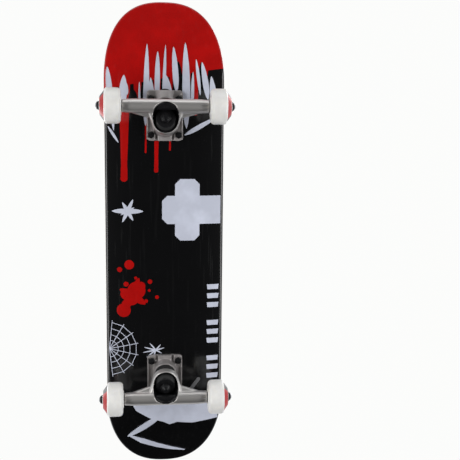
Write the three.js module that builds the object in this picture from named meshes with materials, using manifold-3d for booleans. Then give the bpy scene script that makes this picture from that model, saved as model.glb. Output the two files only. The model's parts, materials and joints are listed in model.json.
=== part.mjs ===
// A complete skateboard: a pressed maple deck with two sheets of grip tape, two cast trucks on rubber
// bushings, and four urethane wheels on ball bearings.
//
// Millimetres. +X points to the nose, +Y to the rider's left, +Z up. The origin is on the ground under
// the middle of the deck's length, with all four wheels standing on it.
import * as THREE from "three";
import { mergeVertices } from "three/addons/utils/BufferGeometryUtils.js";
import { ConvexGeometry } from "three/addons/geometries/ConvexGeometry.js";
import Module from "manifold-3d";

const wasm = await Module();
wasm.setup();

// ---------------------------------------------------------------- deck
const deckWidth = 183;
const deckThickness = 11;
const wheelbase = 355.6; // between the inner bolts of the two trucks
const boltSpacingLong = 53.98;
const boltSpacingWide = 41.28;
const noseOverhang = 147.7; // level distance from the outer bolts to the tip
const tailOverhang = 137.4;
const flatBeyondBolts = 9; // level wood between the outer bolts and the start of a kick
const kickRadius = 120;
const noseAngle = THREE.MathUtils.degToRad(22.5);
const tailAngle = THREE.MathUtils.degToRad(23.5);
const concaveRise = 7.4; // how far the rails stand above the middle of the deck
const concaveFlat = 30; // half-width of the level strip that the trucks bolt to
const concavePower = 1.7;
const tipConcaveShare = 0.35; // share of the concave that is left at the tips
const noseTaper = 131; // length of the rounded end, measured along the wood
const tailTaper = 140;
const nosePower = 2.45; // exponent of the superellipse that rounds the end
const tailPower = 2.3;

// ---------------------------------------------------------------- grip tape
const gripThickness = 0.9;
const gripInset = 3.5;
const gripStripWidth = 18.5; // bare strip of wood between the two sheets
const gripGap = 0.3;

// ---------------------------------------------------------------- mounting hardware
const boltRadius = 2.4;
const boltHeadRadius = 4.8;
const boltHeadHeight = 2.9;
const boltLength = 25.4;
const mountNutFlats = 9.5;
const mountNutHeight = 6;
const socketFlats = 3.2;
const socketDepth = 2;

// ---------------------------------------------------------------- truck, in its own frame
// A truck's frame has its origin on the deck's underside at the middle of the four bolts, +X outwards
// to the end of the board and +Z up.
const axleOut = 17;
const axleDrop = 54;
const axleRadius = 3.97;
const axleChamfer = 0.8;
const axleEndBeyondNut = 1.35;
const hangerWidth = 127;
const barRadius = 10.5;
const barEndRadius = 9.4;
const barTaperLength = 14;
const hangerBossRadius = 7;
const webHalfWidth = 26; // half the bar's length that the web from the ring meets
const webBarRadius = 7.5;
const fairingHalfWidth = 60; // where the low fairing runs out into the bar
const fairingRidge = new THREE.Vector3(4.5, 0, -48.5);
const fairingRidgeHalfWidth = 25;
const fairingRidgeRadius = 5;
const axleSleeveWall = 1.6; // metal left over the axle where the bushing recess crosses it
const ringCentre = new THREE.Vector3(-5.5, 0, -37.8);
const ringRadius = 20.3;
const ringThickness = 9;
const ringSeatThickness = 6;
const ringHoleRadius = 8;
const roadRecessClearance = 4.3; // round the road side washer, which swings inside the recess
const boardRecessClearance = 2.7; // round the board side washer
const kingpinLean = THREE.MathUtils.degToRad(20);
const kingpinRadius = 4.76;
const kingpinHeadFlats = 14.3;
const kingpinHeadHeight = 6;
const kingpinEndBeyondNut = 1.8;
const kingpinNutFlats = 14.3;
const kingpinNutHeight = 8.2;
const bushingRadius = 16;
const bushingBulge = 0.8;
const boardBushingHeight = 14.8;
const roadBushingHeight = 10.8;
const roadBushingTopRadius = 11.8;
const boardWasherRadius = 15.5;
const roadWasherRadius = 14.5;
const cupWasherThickness = 1.5;
const cupWasherRim = 1.1;
const pivotCentre = new THREE.Vector3(30, 0, -13);
const pivotRadius = 6.5;
const pivotRootRadius = 9;
const pivotCupWall = 2.4;
const pivotCupDepth = 9;
const pivotHousingWall = 3;
const plateInner = 36; // from the middle of the bolts to the plate's inner end
const plateOuter = 40;
const plateWidth = 55;
const plateThickness = 6;
const plateCornerRadius = 6;
const bossHalfWidth = 17;
const bossInnerHalfWidth = 10;
const spineHalfWidth = 9;
const spineHeight = 10;

// ---------------------------------------------------------------- wheels and bearings
const wheelRadius = 26;
const wheelWidth = 31.5;
const treadOuter = 6; // wheel's middle to the level tread's edge away from the truck
const treadInner = 10.5; // and to its edge towards the truck
const outerShoulder = { radius: 23, inset: 6.3 }; // where the coned outer side starts, inside the hub face
const innerShoulder = { radius: 22, inset: 1 };
const shoulderSharpness = 0.6; // a smaller value squares the shoulders
const hubRadius = 12.8;
const coreRidgeRadius = 9.5;
const bearingOuterRadius = 11;
const bearingWidth = 7;
const bearingSpacing = 10; // between the inner faces of a wheel's two bearings
const wheelToHanger = 0.5; // gap between a wheel's inner side and the end of the hanger's bar
const speedWasherRadius = 6.4;
const speedWasherThickness = 1;
const axleNutFlats = 12.7;
const axleNutHeight = 6.6;

// ---------------------------------------------------------------- fits and facets
const fit = 0.15; // gap between pieces that touch on the real board
const runningFit = 0.08; // radial gap between the axle and the bearings
const boltHoleClearance = 0.35;
const gripHoleClearance = 0.25;
const fineFacets = 24;
const facets = 20;
const smallFacets = 10;
const wheelFacets = 28;
const tipFacets = 13;

const deckLength = wheelbase + 2 * boltSpacingLong + noseOverhang + tailOverhang;
const rideHeight = wheelRadius + axleDrop; // ground to the deck's underside
const truckFrontX = deckLength / 2 - noseOverhang - boltSpacingLong / 2;
const truckRearX = -deckLength / 2 + tailOverhang + boltSpacingLong / 2;
const pivotAxis = pivotCentre.clone().sub(ringCentre).normalize();
const pivotDistance = pivotCentre.distanceTo(ringCentre);
const kingpinAxis = new THREE.Vector3(Math.sin(kingpinLean), 0, -Math.cos(kingpinLean));
const seat = ringSeatThickness / 2; // ring centre to either bushing seat, along the kingpin
const plateSeat = seat + fit + boardBushingHeight + fit + cupWasherThickness + fit;
const headTop = plateSeat + 18.2; // ring centre to the far face of the kingpin's head
const roadWasherStart = seat + fit + roadBushingHeight + fit;
const kingpinNutStart = roadWasherStart + cupWasherThickness + fit;
const kingpinEnd = kingpinNutStart + kingpinNutHeight + kingpinEndBeyondNut;
// Distances from the middle of the board, along the axle.
const wheelCentreOut = hangerWidth / 2 + wheelToHanger + wheelWidth / 2;
const bearingsInner = wheelCentreOut - bearingSpacing / 2 - bearingWidth;
const speedWasherStart = wheelCentreOut + bearingSpacing / 2 + bearingWidth + fit;
const axleNutStart = speedWasherStart + speedWasherThickness + fit;
const halfAxle = axleNutStart + axleNutHeight + axleEndBeyondNut;

// ================================================================ helpers
function solid(geometry) {
  const bare = geometry.clone();
  bare.deleteAttribute("normal");
  bare.deleteAttribute("uv");
  const merged = mergeVertices(bare, 1e-4);
  return new wasm.Manifold(
    new wasm.Mesh({
      numProp: 3,
      vertProperties: merged.attributes.position.array,
      triVerts: new Uint32Array(merged.index.array),
    }),
  );
}

function geometryOf(manifold) {
  const mesh = manifold.getMesh();
  const geometry = new THREE.BufferGeometry();
  geometry.setAttribute("position", new THREE.BufferAttribute(mesh.vertProperties, 3));
  geometry.setIndex(new THREE.BufferAttribute(mesh.triVerts, 1));
  geometry.computeVertexNormals();
  return geometry;
}

function joined(...geometries) {
  return geometries.map(solid).reduce((all, next) => all.add(next));
}

// A solid of revolution about Y. The profile is a closed loop of [radius, height] points.
function revolve(profile, segments = facets) {
  const loop = [...profile, profile[0]].map(([radius, height]) => new THREE.Vector2(radius, height));
  return new THREE.LatheGeometry(loop, segments, Math.PI / segments);
}

function rod(radius, from, to, segments = facets) {
  return revolve([[0, from], [radius, from], [radius, to], [0, to]], segments);
}

// The radius to draw a bore at, so that its flats stand at its true radius.
const boreAt = (radius, segments = facets) => radius / Math.cos(Math.PI / segments);

function ring(outer, inner, from, to, segments = facets) {
  const bore = boreAt(inner, segments);
  return revolve([[bore, from], [outer, from], [outer, to], [bore, to]], segments);
}

// Turns a piece made along Y so that it lies along an axis, with its zero at a point.
function along(geometry, axis, point = new THREE.Vector3()) {
  const turn = new THREE.Quaternion().setFromUnitVectors(new THREE.Vector3(0, 1, 0), axis);
  return geometry.applyMatrix4(new THREE.Matrix4().compose(point, turn, new THREE.Vector3(1, 1, 1)));
}

function box(low, high) {
  const size = high.map((value, i) => value - low[i]);
  const middle = high.map((value, i) => (value + low[i]) / 2);
  return new THREE.BoxGeometry(...size).translate(...middle);
}

function hexagonPrism(flats, from, to) {
  const corner = flats / 2 / Math.cos(Math.PI / 6);
  const prism = new THREE.CylinderGeometry(corner, corner, to - from, 6);
  return prism.translate(0, (from + to) / 2, 0);
}

// A hexagon nut along Y with a plain bore.
function nut(flats, height, bore) {
  const hole = rod(boreAt(bore, smallFacets), -1, height + 1, smallFacets);
  return solid(hexagonPrism(flats, 0, height)).subtract(solid(hole));
}

function mesh(name, shape, material, parent) {
  const geometry = shape.isBufferGeometry ? shape : geometryOf(shape);
  const made = new THREE.Mesh(geometry, material);
  made.name = name;
  parent.add(made);
  return made;
}

const paint = (color, roughness, metalness = 0) =>
  new THREE.MeshStandardMaterial({ color, roughness, metalness });
const materials = {
  deck: paint(0x15151a, 0.25),
  grip: paint(0x2c2a2e, 0.95),
  cast: paint(0xa7a3a0, 0.42, 0.9),
  steel: paint(0xb9babd, 0.3, 1),
  blackSteel: paint(0x17171a, 0.4, 0.6),
  rubber: paint(0x131315, 0.5),
  urethane: paint(0xf2f0ea, 0.35),
};

// ================================================================ deck
// One kicked end of the deck: an arc from the level stretch, then straight to the tip.
function kick(start, angle, overhang) {
  const run = overhang - flatBeyondBolts;
  const straight = (run - kickRadius * Math.sin(angle)) / Math.cos(angle);
  return { start, angle, tip: start + kickRadius * angle + straight };
}
const nose = kick(deckLength / 2 - noseOverhang + flatBeyondBolts, noseAngle, noseOverhang);
const tail = kick(deckLength / 2 - tailOverhang + flatBeyondBolts, tailAngle, tailOverhang);

function concaveAt(side, share) {
  const beyond = Math.max(0, Math.abs(side) - concaveFlat) / (deckWidth / 2 - concaveFlat);
  return concaveRise * share * beyond ** concavePower;
}

// The point on the pressed deck at a distance along the wood, a distance to the side and a height
// above the underside, measured square to the wood.
function pressed(distance, side, height) {
  const end = distance < 0 ? tail : nose;
  const way = Math.sign(distance) || 1;
  const past = Math.max(0, Math.abs(distance) - end.start);
  const turned = Math.min(past / kickRadius, end.angle);
  const straight = Math.max(0, past - kickRadius * end.angle);
  const x = Math.min(Math.abs(distance), end.start) + kickRadius * Math.sin(turned) + straight * Math.cos(end.angle);
  const z = kickRadius * (1 - Math.cos(turned)) + straight * Math.sin(end.angle);
  const share = THREE.MathUtils.lerp(1, tipConcaveShare, past / (end.tip - end.start));
  const lift = height + concaveAt(side, share);
  return new THREE.Vector3(way * (x - lift * Math.sin(turned)), side, z + lift * Math.cos(turned) + rideHeight);
}

function steps(from, to, count) {
  return Array.from({ length: count }, (_, i) => from + ((to - from) * (i + 1)) / count);
}

const arcSteps = 5;
const straightSteps = 3;
const railSteps = 3;
function endStations(end) {
  const arcEnd = end.start + kickRadius * end.angle;
  return [end.start, ...steps(end.start, arcEnd, arcSteps), ...steps(arcEnd, end.tip + 8, straightSteps)];
}
const lengthStations = [...endStations(tail).reverse().map((v) => -v), ...endStations(nose)];
const halfStations = [concaveFlat, ...steps(concaveFlat, deckWidth / 2 + 6, railSteps)];
const sideStations = [...[...halfStations].reverse().map((v) => -v), ...halfStations];

// A pressed sheet between two heights, larger than the deck on every side.
function pressedSheet(low, high) {
  const nx = lengthStations.length - 1;
  const ny = sideStations.length - 1;
  const geometry = new THREE.BoxGeometry(nx, ny, 1, nx, ny, 1);
  const position = geometry.attributes.position;
  for (let i = 0; i < position.count; i++) {
    const distance = lengthStations[Math.round(position.getX(i) + nx / 2)];
    const side = sideStations[Math.round(position.getY(i) + ny / 2)];
    const point = pressed(distance, side, position.getZ(i) < 0 ? low : high);
    position.setXYZ(i, point.x, point.y, point.z);
  }
  // The underside's quads are split along the same diagonals as the upper side's, so that one sheet
  // nests on another with an even gap.
  const index = geometry.index.array;
  for (let i = geometry.groups[5].start; i < index.length; i += 6) {
    const [a, b, d, , c] = index.slice(i, i + 5);
    index.set([a, b, c, a, c, d], i);
  }
  return solid(geometry);
}

// The deck's plan, in distance along the wood, as a closed wall square to the wood.
function outlineWall(inset) {
  const halfWidth = deckWidth / 2 - inset;
  const ends = [[nose, noseTaper, nosePower, 1], [tail, tailTaper, tailPower, -1]];
  const points = [];
  for (const [end, taper, power, way] of ends) {
    const start = end.tip - taper;
    for (const station of lengthStations) {
      if (station * way > 0 && station * way < start) points.push([station, -way * halfWidth]);
    }
    for (let i = 0; i <= 2 * tipFacets; i++) {
      const angle = ((i - tipFacets) / tipFacets) * (Math.PI / 2);
      const reach = Math.cos(angle) ** (2 / power) * (taper - inset);
      const side = Math.sign(angle) * Math.abs(Math.sin(angle)) ** (2 / power) * halfWidth;
      points.push([way * (start + reach), way * side]);
    }
    for (const station of [...lengthStations].reverse()) {
      if (station * way > 0 && station * way < start) points.push([station, way * halfWidth]);
    }
  }
  const order = points.filter((p, i) => i === 0 || p[0] !== points[i - 1][0] || p[1] !== points[i - 1][1]);
  const shape = new THREE.Shape(order.map(([distance, side]) => new THREE.Vector2(distance, side)));
  const geometry = new THREE.ExtrudeGeometry(shape, { depth: 1, steps: 1, bevelEnabled: false });
  const position = geometry.attributes.position;
  const reach = kickRadius * 0.75; // how far the wall runs past the wood, above and below
  for (let i = 0; i < position.count; i++) {
    const point = pressed(position.getX(i), position.getY(i), position.getZ(i) < 0.5 ? -reach : reach);
    position.setXYZ(i, point.x, point.y, point.z);
  }
  return solid(geometry);
}

function boltPlaces() {
  const places = [];
  for (const [end, centre, way] of [["front", truckFrontX, 1], ["rear", truckRearX, -1]]) {
    let number = 1;
    for (const out of [1, -1]) {
      for (const side of [1, -1]) {
        const x = centre + (way * out * boltSpacingLong) / 2;
        places.push({ name: `${end}_${number++}`, x, y: (side * boltSpacingWide) / 2 });
      }
    }
  }
  return places;
}

const up = new THREE.Vector3(0, 0, 1);
const deckTop = rideHeight + deckThickness;
const gripTop = deckTop + gripGap + gripThickness;
const boltHeadTop = gripTop - 0.1;

function buildDeck(parent) {
  let deck = pressedSheet(0, deckThickness).intersect(outlineWall(0));
  const spread = boltHeadRadius - boltRadius;
  for (const { x, y } of boltPlaces()) {
    const drilled = revolve([
      [0, -deckThickness - 1], [boltRadius + boltHoleClearance, -deckThickness - 1],
      [boltRadius + boltHoleClearance, boltHeadTop - deckTop - boltHeadHeight - fit],
      [boltHeadRadius + gripHoleClearance, boltHeadTop - deckTop - boltHeadHeight + spread + fit],
      [boltHeadRadius + gripHoleClearance, 2], [0, 2],
    ], smallFacets);
    deck = deck.subtract(solid(along(drilled, up, new THREE.Vector3(x, y, deckTop))));
  }
  mesh("deck", deck, materials.deck, parent);
}

function buildGrip(parent) {
  const low = deckThickness + gripGap;
  let sheet = pressedSheet(low, low + gripThickness).intersect(outlineWall(gripInset));
  for (const { x, y } of boltPlaces()) {
    const hole = rod(boltHeadRadius + gripHoleClearance, -3, 3, smallFacets);
    sheet = sheet.subtract(solid(along(hole, up, new THREE.Vector3(x, y, deckTop))));
  }
  const reach = deckLength;
  for (const [name, way] of [["grip_nose", 1], ["grip_tail", -1]]) {
    const from = (way * gripStripWidth) / 2;
    const cut = box([Math.min(from, way * reach), -deckWidth, 0], [Math.max(from, way * reach), deckWidth, reach]);
    mesh(name, sheet.intersect(solid(cut)), materials.grip, parent);
  }
}

function buildMountingHardware(parent) {
  const nutTop = rideHeight - fit - plateThickness - fit;
  for (const { name, x, y } of boltPlaces()) {
    const turned = revolve([
      [0, -boltLength], [boltRadius - 0.5, -boltLength], [boltRadius, -boltLength + 0.5],
      [boltRadius, -boltHeadHeight], [boltHeadRadius, -boltHeadHeight + boltHeadRadius - boltRadius],
      [boltHeadRadius, 0], [0, 0],
    ], smallFacets);
    const bolt = solid(turned).subtract(solid(hexagonPrism(socketFlats, -socketDepth, 1)));
    mesh(`mount_bolt_${name}`, geometryOf(bolt).rotateX(Math.PI / 2), materials.blackSteel, parent)
      .position.set(x, y, boltHeadTop);
    const mountNut = nut(mountNutFlats, mountNutHeight, boltRadius + fit);
    mesh(`mount_nut_${name}`, geometryOf(mountNut).rotateX(-Math.PI / 2), materials.blackSteel, parent)
      .position.set(x, y, nutTop);
  }
}

// ================================================================ truck
// A piece of the truck that lies along the kingpin, with distances counted from the ring's centre
// towards the ground.
const onKingpin = (geometry) => along(geometry, kingpinAxis, ringCentre);
// A piece that lies along the pivot axis, counted from the ring's centre towards the pivot.
const onPivot = (geometry) => along(geometry, pivotAxis, ringCentre);
const acrossAxle = (geometry) => geometry.translate(axleOut, 0, -axleDrop);

function roundPoints(axis, centre, radius, distance, count = fineFacets) {
  const turn = new THREE.Quaternion().setFromUnitVectors(new THREE.Vector3(0, 1, 0), axis);
  return Array.from({ length: count }, (_, i) => {
    const angle = (2 * Math.PI * i) / count;
    return new THREE.Vector3(radius * Math.sin(angle), distance, radius * Math.cos(angle))
      .applyQuaternion(turn)
      .add(centre);
  });
}

function baseplateShape() {
  const outline = new THREE.Shape();
  const half = plateWidth / 2;
  const r = plateCornerRadius;
  outline.absarc(plateOuter - r, half - r, r, 0, Math.PI / 2);
  outline.absarc(-plateInner + r, half - r, r, Math.PI / 2, Math.PI);
  outline.absarc(-plateInner + r, -half + r, r, Math.PI, 1.5 * Math.PI);
  outline.absarc(plateOuter - r, -half + r, r, 1.5 * Math.PI, 2 * Math.PI);
  const plate = new THREE.ExtrudeGeometry(outline, {
    depth: plateThickness, bevelEnabled: false, curveSegments: 4,
  }).translate(0, 0, -plateThickness);

  // The boss carries the kingpin's seat, square to the kingpin.
  const boss = new ConvexGeometry([
    ...roundPoints(kingpinAxis, ringCentre, boardWasherRadius + 0.8, -plateSeat),
    new THREE.Vector3(-plateInner, -bossInnerHalfWidth, -1),
    new THREE.Vector3(-plateInner, bossInnerHalfWidth, -1),
    new THREE.Vector3(-plateInner, -bossInnerHalfWidth, -plateThickness - 2),
    new THREE.Vector3(-plateInner, bossInnerHalfWidth, -plateThickness - 2),
    new THREE.Vector3(-plateInner + 8, -bossHalfWidth, -1),
    new THREE.Vector3(-plateInner + 8, bossHalfWidth, -1),
    new THREE.Vector3(6, -bossHalfWidth, -1),
    new THREE.Vector3(6, bossHalfWidth, -1),
  ]);
  const cupOuter = pivotRadius + 2 * fit + pivotCupWall;
  const housingRadius = cupOuter + pivotHousingWall;
  const housing = onPivot(rod(housingRadius, pivotDistance - pivotCupDepth, pivotDistance + 16, fineFacets));
  const spine = box([-2, -spineHalfWidth, -spineHeight], [plateOuter - 12, spineHalfWidth, -1]);

  const whole = joined(plate, boss, housing, spine);
  const inside = box([-plateInner - 1, -plateWidth, -60], [plateOuter, plateWidth, 0]);
  const cuts = [
    onPivot(rod(cupOuter + fit, pivotDistance - pivotCupDepth - 20, pivotDistance + pivotRadius + pivotCupWall + 3 * fit)),
    onKingpin(rod(kingpinRadius + fit, -plateSeat - 60, 0)),
    onKingpin(rod(kingpinHeadFlats / 2 / Math.cos(Math.PI / 6) + 0.8, -headTop - 30, -headTop + kingpinHeadHeight + fit)),
    onKingpin(rod(boardWasherRadius + 0.5, -plateSeat, plateSeat)),
  ];
  let plateSolid = whole.intersect(solid(inside));
  for (const cut of cuts) plateSolid = plateSolid.subtract(solid(cut));
  for (const out of [1, -1]) {
    for (const side of [1, -1]) {
      const place = new THREE.Vector3((out * boltSpacingLong) / 2, (side * boltSpacingWide) / 2, 0);
      const hole = along(rod(boltRadius + boltHoleClearance, -plateThickness - 1, 1, smallFacets), up, place);
      const nutRoom = along(rod(mountNutFlats / 2 + 2, -60, -plateThickness, smallFacets), up, place);
      plateSolid = plateSolid.subtract(solid(hole)).subtract(solid(nutRoom));
    }
  }
  return plateSolid;
}

function hangerShape() {
  const half = hangerWidth / 2;
  const bossEnd = bearingsInner - speedWasherThickness - 2 * fit;
  const bar = acrossAxle(revolve([
    [0, -bossEnd], [hangerBossRadius, -bossEnd], [hangerBossRadius, -half], [barEndRadius, -half],
    [barRadius, -half + barTaperLength], [barRadius, half - barTaperLength],
    [barEndRadius, half], [hangerBossRadius, half], [hangerBossRadius, bossEnd], [0, bossEnd],
  ], fineFacets));
  const axleCentre = new THREE.Vector3(axleOut, 0, -axleDrop);
  const acrossPoints = (centre, radius, y) => roundPoints(new THREE.Vector3(0, 1, 0), centre, radius, y, 12);
  const acrossBar = (centre, radius, halfWidth) => [
    ...acrossPoints(centre, radius, -halfWidth),
    ...acrossPoints(centre, radius, halfWidth),
  ];
  const halfRing = ringThickness / 2;
  const web = new ConvexGeometry([
    ...roundPoints(kingpinAxis, ringCentre, ringRadius, -halfRing),
    ...roundPoints(kingpinAxis, ringCentre, ringRadius, halfRing),
    ...acrossBar(axleCentre, webBarRadius, webHalfWidth),
  ]);
  const fairing = new ConvexGeometry([
    ...acrossBar(axleCentre, webBarRadius, fairingHalfWidth),
    ...acrossBar(fairingRidge, fairingRidgeRadius, fairingRidgeHalfWidth),
  ]);
  const neck = pivotDistance - pivotCupDepth - 2;
  const tip = Array.from({ length: 4 }, (_, i) => {
    const angle = (i / 3) * (Math.PI / 2);
    return [pivotRadius * Math.cos(angle), pivotDistance + pivotRadius * Math.sin(angle)];
  });
  const stem = onPivot(revolve([[0, 10], [pivotRootRadius, 10], [pivotRootRadius, neck - 12], [pivotRadius, neck], ...tip]));

  let hanger = joined(bar, web, fairing, stem);
  const far = 60;
  const recess = onKingpin(rod(roadWasherRadius + roadRecessClearance, seat, far, fineFacets));
  const sleeve = acrossAxle(rod(axleRadius + fit + axleSleeveWall, -ringRadius - 10, ringRadius + 10));
  hanger = hanger
    .subtract(solid(recess).subtract(solid(sleeve)))
    .subtract(solid(onKingpin(rod(boardWasherRadius + boardRecessClearance, -far, -seat, fineFacets))))
    .subtract(solid(onKingpin(rod(ringHoleRadius, -far, far))))
    .subtract(solid(acrossAxle(rod(axleRadius + fit, -half - 20, half + 20))));
  return hanger;
}

function cupWasher(radius, rimWay) {
  const bore = kingpinRadius + 2 * fit;
  const t = cupWasherThickness;
  const rim = cupWasherRim * rimWay;
  const profile = [[bore, 0], [radius - t, 0], [radius, rimWay > 0 ? 0 : rim], [radius, rimWay > 0 ? t + rim : t],
    [radius - 0.9, rimWay > 0 ? t + rim : t], [radius - 2.4, t], [bore, t]];
  return revolve(rimWay > 0 ? profile : [[bore, 0], [radius, 0], [radius, t], [bore, t]], facets);
}

function bushing(lowRadius, highRadius, height, from) {
  const bore = kingpinRadius + 2 * fit;
  const middle = (lowRadius + highRadius) / 2 + bushingBulge;
  return revolve([
    [bore, from], [lowRadius - 1, from], [lowRadius, from + 1], [middle, from + height / 2],
    [highRadius, from + height - 1], [highRadius - 1, from + height], [bore, from + height],
  ], facets);
}

function bearing() {
  return ring(bearingOuterRadius, axleRadius + runningFit, -bearingWidth / 2, bearingWidth / 2);
}

function wheel() {
  const half = wheelWidth / 2;
  const bore = boreAt(bearingOuterRadius + fit, wheelFacets);
  const ridge = bearingSpacing / 2 - fit;
  const edge = ({ radius, inset }, tread) => new THREE.QuadraticBezierCurve(
    new THREE.Vector2(radius, half - inset),
    new THREE.Vector2(wheelRadius - shoulderSharpness, half - inset - shoulderSharpness),
    new THREE.Vector2(boreAt(wheelRadius, wheelFacets), tread),
  ).getPoints(3).map((p) => [p.x, p.y]);
  const outwards = [[hubRadius, half], ...edge(outerShoulder, treadOuter)];
  const inwards = [[hubRadius, half], ...edge(innerShoulder, treadInner)];
  return revolve([
    [bore, -half], ...inwards.map(([radius, height]) => [radius, -height]), ...outwards.reverse(), [bore, half],
    [bore, ridge], [coreRidgeRadius, ridge], [coreRidgeRadius, -ridge], [bore, -ridge],
  ], wheelFacets);
}

function buildTruck(end, x, turned, parent) {
  const truck = new THREE.Group();
  truck.position.set(x, 0, rideHeight);
  truck.rotation.z = turned ? Math.PI : 0;
  parent.add(truck);

  const bolted = new THREE.Group(); // what is bolted to the deck, just under the wood
  bolted.position.z = -fit;
  truck.add(bolted);
  mesh(`baseplate_${end}`, baseplateShape(), materials.cast, bolted);

  const cupOuter = pivotRadius + 2 * fit + pivotCupWall;
  const cupBottom = pivotDistance + pivotRadius + pivotCupWall + 2 * fit;
  const cupInner = pivotDistance + pivotRadius + 2 * fit;
  const cup = solid(onPivot(rod(cupOuter, pivotDistance - pivotCupDepth, cupBottom)))
    .subtract(solid(onPivot(rod(pivotRadius + 2 * fit, pivotDistance - pivotCupDepth - 5, cupInner))))
    .intersect(solid(box([-100, -50, -100], [plateOuter, 50, 0])));
  mesh(`pivot_cup_${end}`, cup, materials.rubber, bolted);

  const kingpin = joined(
    onKingpin(rod(kingpinRadius, -headTop + 1, kingpinEnd)),
    onKingpin(hexagonPrism(kingpinHeadFlats, -headTop, -headTop + kingpinHeadHeight)),
  ).intersect(solid(box([-100, -50, -100], [100, 50, 0])));
  mesh(`kingpin_${end}`, kingpin, materials.blackSteel, bolted);
  const boardWasher = cupWasher(boardWasherRadius, -1).translate(0, -plateSeat + fit, 0);
  mesh(`washer_board_${end}`, onKingpin(boardWasher), materials.blackSteel, bolted);
  const boardBushing = bushing(bushingRadius, bushingRadius, boardBushingHeight, -seat - fit - boardBushingHeight);
  mesh(`bushing_board_${end}`, onKingpin(boardBushing), materials.rubber, bolted);
  const roadBushing = bushing(bushingRadius, roadBushingTopRadius, roadBushingHeight, seat + fit);
  mesh(`bushing_road_${end}`, onKingpin(roadBushing), materials.rubber, bolted);
  const roadWasher = onKingpin(cupWasher(roadWasherRadius, 1).rotateX(Math.PI)
    .translate(0, roadWasherStart + cupWasherThickness, 0));
  mesh(`washer_road_${end}`, roadWasher, materials.blackSteel, bolted);
  const kingpinNut = geometryOf(nut(kingpinNutFlats, kingpinNutHeight, kingpinRadius + fit));
  mesh(`kingpin_nut_${end}`, onKingpin(kingpinNut.translate(0, kingpinNutStart, 0)), materials.blackSteel, bolted);

  const swinging = new THREE.Group(); // the hanger and all that it carries
  truck.add(swinging);
  mesh(`hanger_${end}`, hangerShape(), materials.cast, swinging);
  mesh(`axle_${end}`, revolve([
    [0, -halfAxle], [axleRadius - axleChamfer, -halfAxle], [axleRadius, -halfAxle + axleChamfer],
    [axleRadius, halfAxle - axleChamfer], [axleRadius - axleChamfer, halfAxle], [0, halfAxle],
  ]), materials.steel, swinging).position.set(axleOut, 0, -axleDrop);

  for (const way of [1, -1]) {
    const left = turned ? way < 0 : way > 0;
    const place = `${end}_${left ? "left" : "right"}`;
    const hub = new THREE.Group();
    hub.position.set(axleOut, way * wheelCentreOut, -axleDrop);
    hub.rotation.z = way > 0 ? 0 : Math.PI; // the outer side of the wheel faces away from the board
    swinging.add(hub);
    mesh(`wheel_${place}`, wheel(), materials.urethane, hub);
    const bearingMiddle = bearingSpacing / 2 + bearingWidth / 2;
    mesh(`bearing_${place}_inner`, bearing(), materials.steel, hub).position.y = -bearingMiddle;
    mesh(`bearing_${place}_outer`, bearing(), materials.steel, hub).position.y = bearingMiddle;
    const speedWasher = ring(speedWasherRadius, axleRadius + fit, 0, speedWasherThickness, smallFacets);
    mesh(`speed_washer_${place}`, speedWasher, materials.steel, hub)
      .position.y = speedWasherStart - wheelCentreOut;
    const axleNut = nut(axleNutFlats, axleNutHeight, axleRadius + fit);
    mesh(`axle_nut_${place}`, axleNut, materials.blackSteel, hub).position.y = axleNutStart - wheelCentreOut;
  }
}

const skateboard = new THREE.Group();
buildDeck(skateboard);
buildGrip(skateboard);
buildMountingHardware(skateboard);
buildTruck("front", truckFrontX, false, skateboard);
buildTruck("rear", truckRearX, true, skateboard);

export default skateboard;
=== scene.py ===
"""The finished looks of a complete skateboard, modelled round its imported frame.

Sizes are metres in the frame's own axes: +X to the nose, +Y to the left, +Z up. The deck and what is
printed or stuck on it are made flat first, in distance along the wood, distance to the side and height
above the underside, and are then pressed to the deck's curve. Each truck is made in its own frame, with
its origin on the deck's underside at the middle of its four bolts and +X out to the end of the board.
"""
import json
import math

import bmesh
import bpy
from mathutils import Matrix, Vector


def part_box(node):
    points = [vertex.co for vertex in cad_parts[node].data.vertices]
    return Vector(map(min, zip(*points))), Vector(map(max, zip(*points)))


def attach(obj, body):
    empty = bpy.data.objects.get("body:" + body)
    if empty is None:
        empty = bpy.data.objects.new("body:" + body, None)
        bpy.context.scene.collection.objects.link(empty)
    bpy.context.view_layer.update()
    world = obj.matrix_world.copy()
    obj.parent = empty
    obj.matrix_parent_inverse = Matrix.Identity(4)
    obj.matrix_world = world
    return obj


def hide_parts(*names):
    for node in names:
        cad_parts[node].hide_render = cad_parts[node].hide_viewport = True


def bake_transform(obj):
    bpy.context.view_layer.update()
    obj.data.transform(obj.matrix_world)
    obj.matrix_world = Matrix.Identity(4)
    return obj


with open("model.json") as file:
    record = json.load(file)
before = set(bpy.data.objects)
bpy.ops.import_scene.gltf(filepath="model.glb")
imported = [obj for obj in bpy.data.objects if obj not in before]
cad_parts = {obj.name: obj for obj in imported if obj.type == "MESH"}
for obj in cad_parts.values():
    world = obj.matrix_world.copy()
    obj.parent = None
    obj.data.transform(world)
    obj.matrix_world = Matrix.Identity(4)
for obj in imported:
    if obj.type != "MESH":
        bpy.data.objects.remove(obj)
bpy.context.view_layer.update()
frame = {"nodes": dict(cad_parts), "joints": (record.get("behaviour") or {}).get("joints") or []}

bl_info = {
    "name": "Skateboard",
    "version": (1, 0, 0),
    "blender": (4, 5, 0),
    "location": "3D View > Sidebar > Skateboard",
    "description": "Models the finished pieces of a skateboard round its packed frame",
    "category": "Object",
}

MM = 0.001
ENDS = {"front": 1, "rear": -1}
JOINTS = {joint["name"]: joint for joint in frame["joints"]}
FRONT_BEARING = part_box("bearing_front_left_outer")
FRONT_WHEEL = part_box("wheel_front_left")
DECK_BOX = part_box("deck")
GRIP_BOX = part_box("grip_nose")


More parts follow.
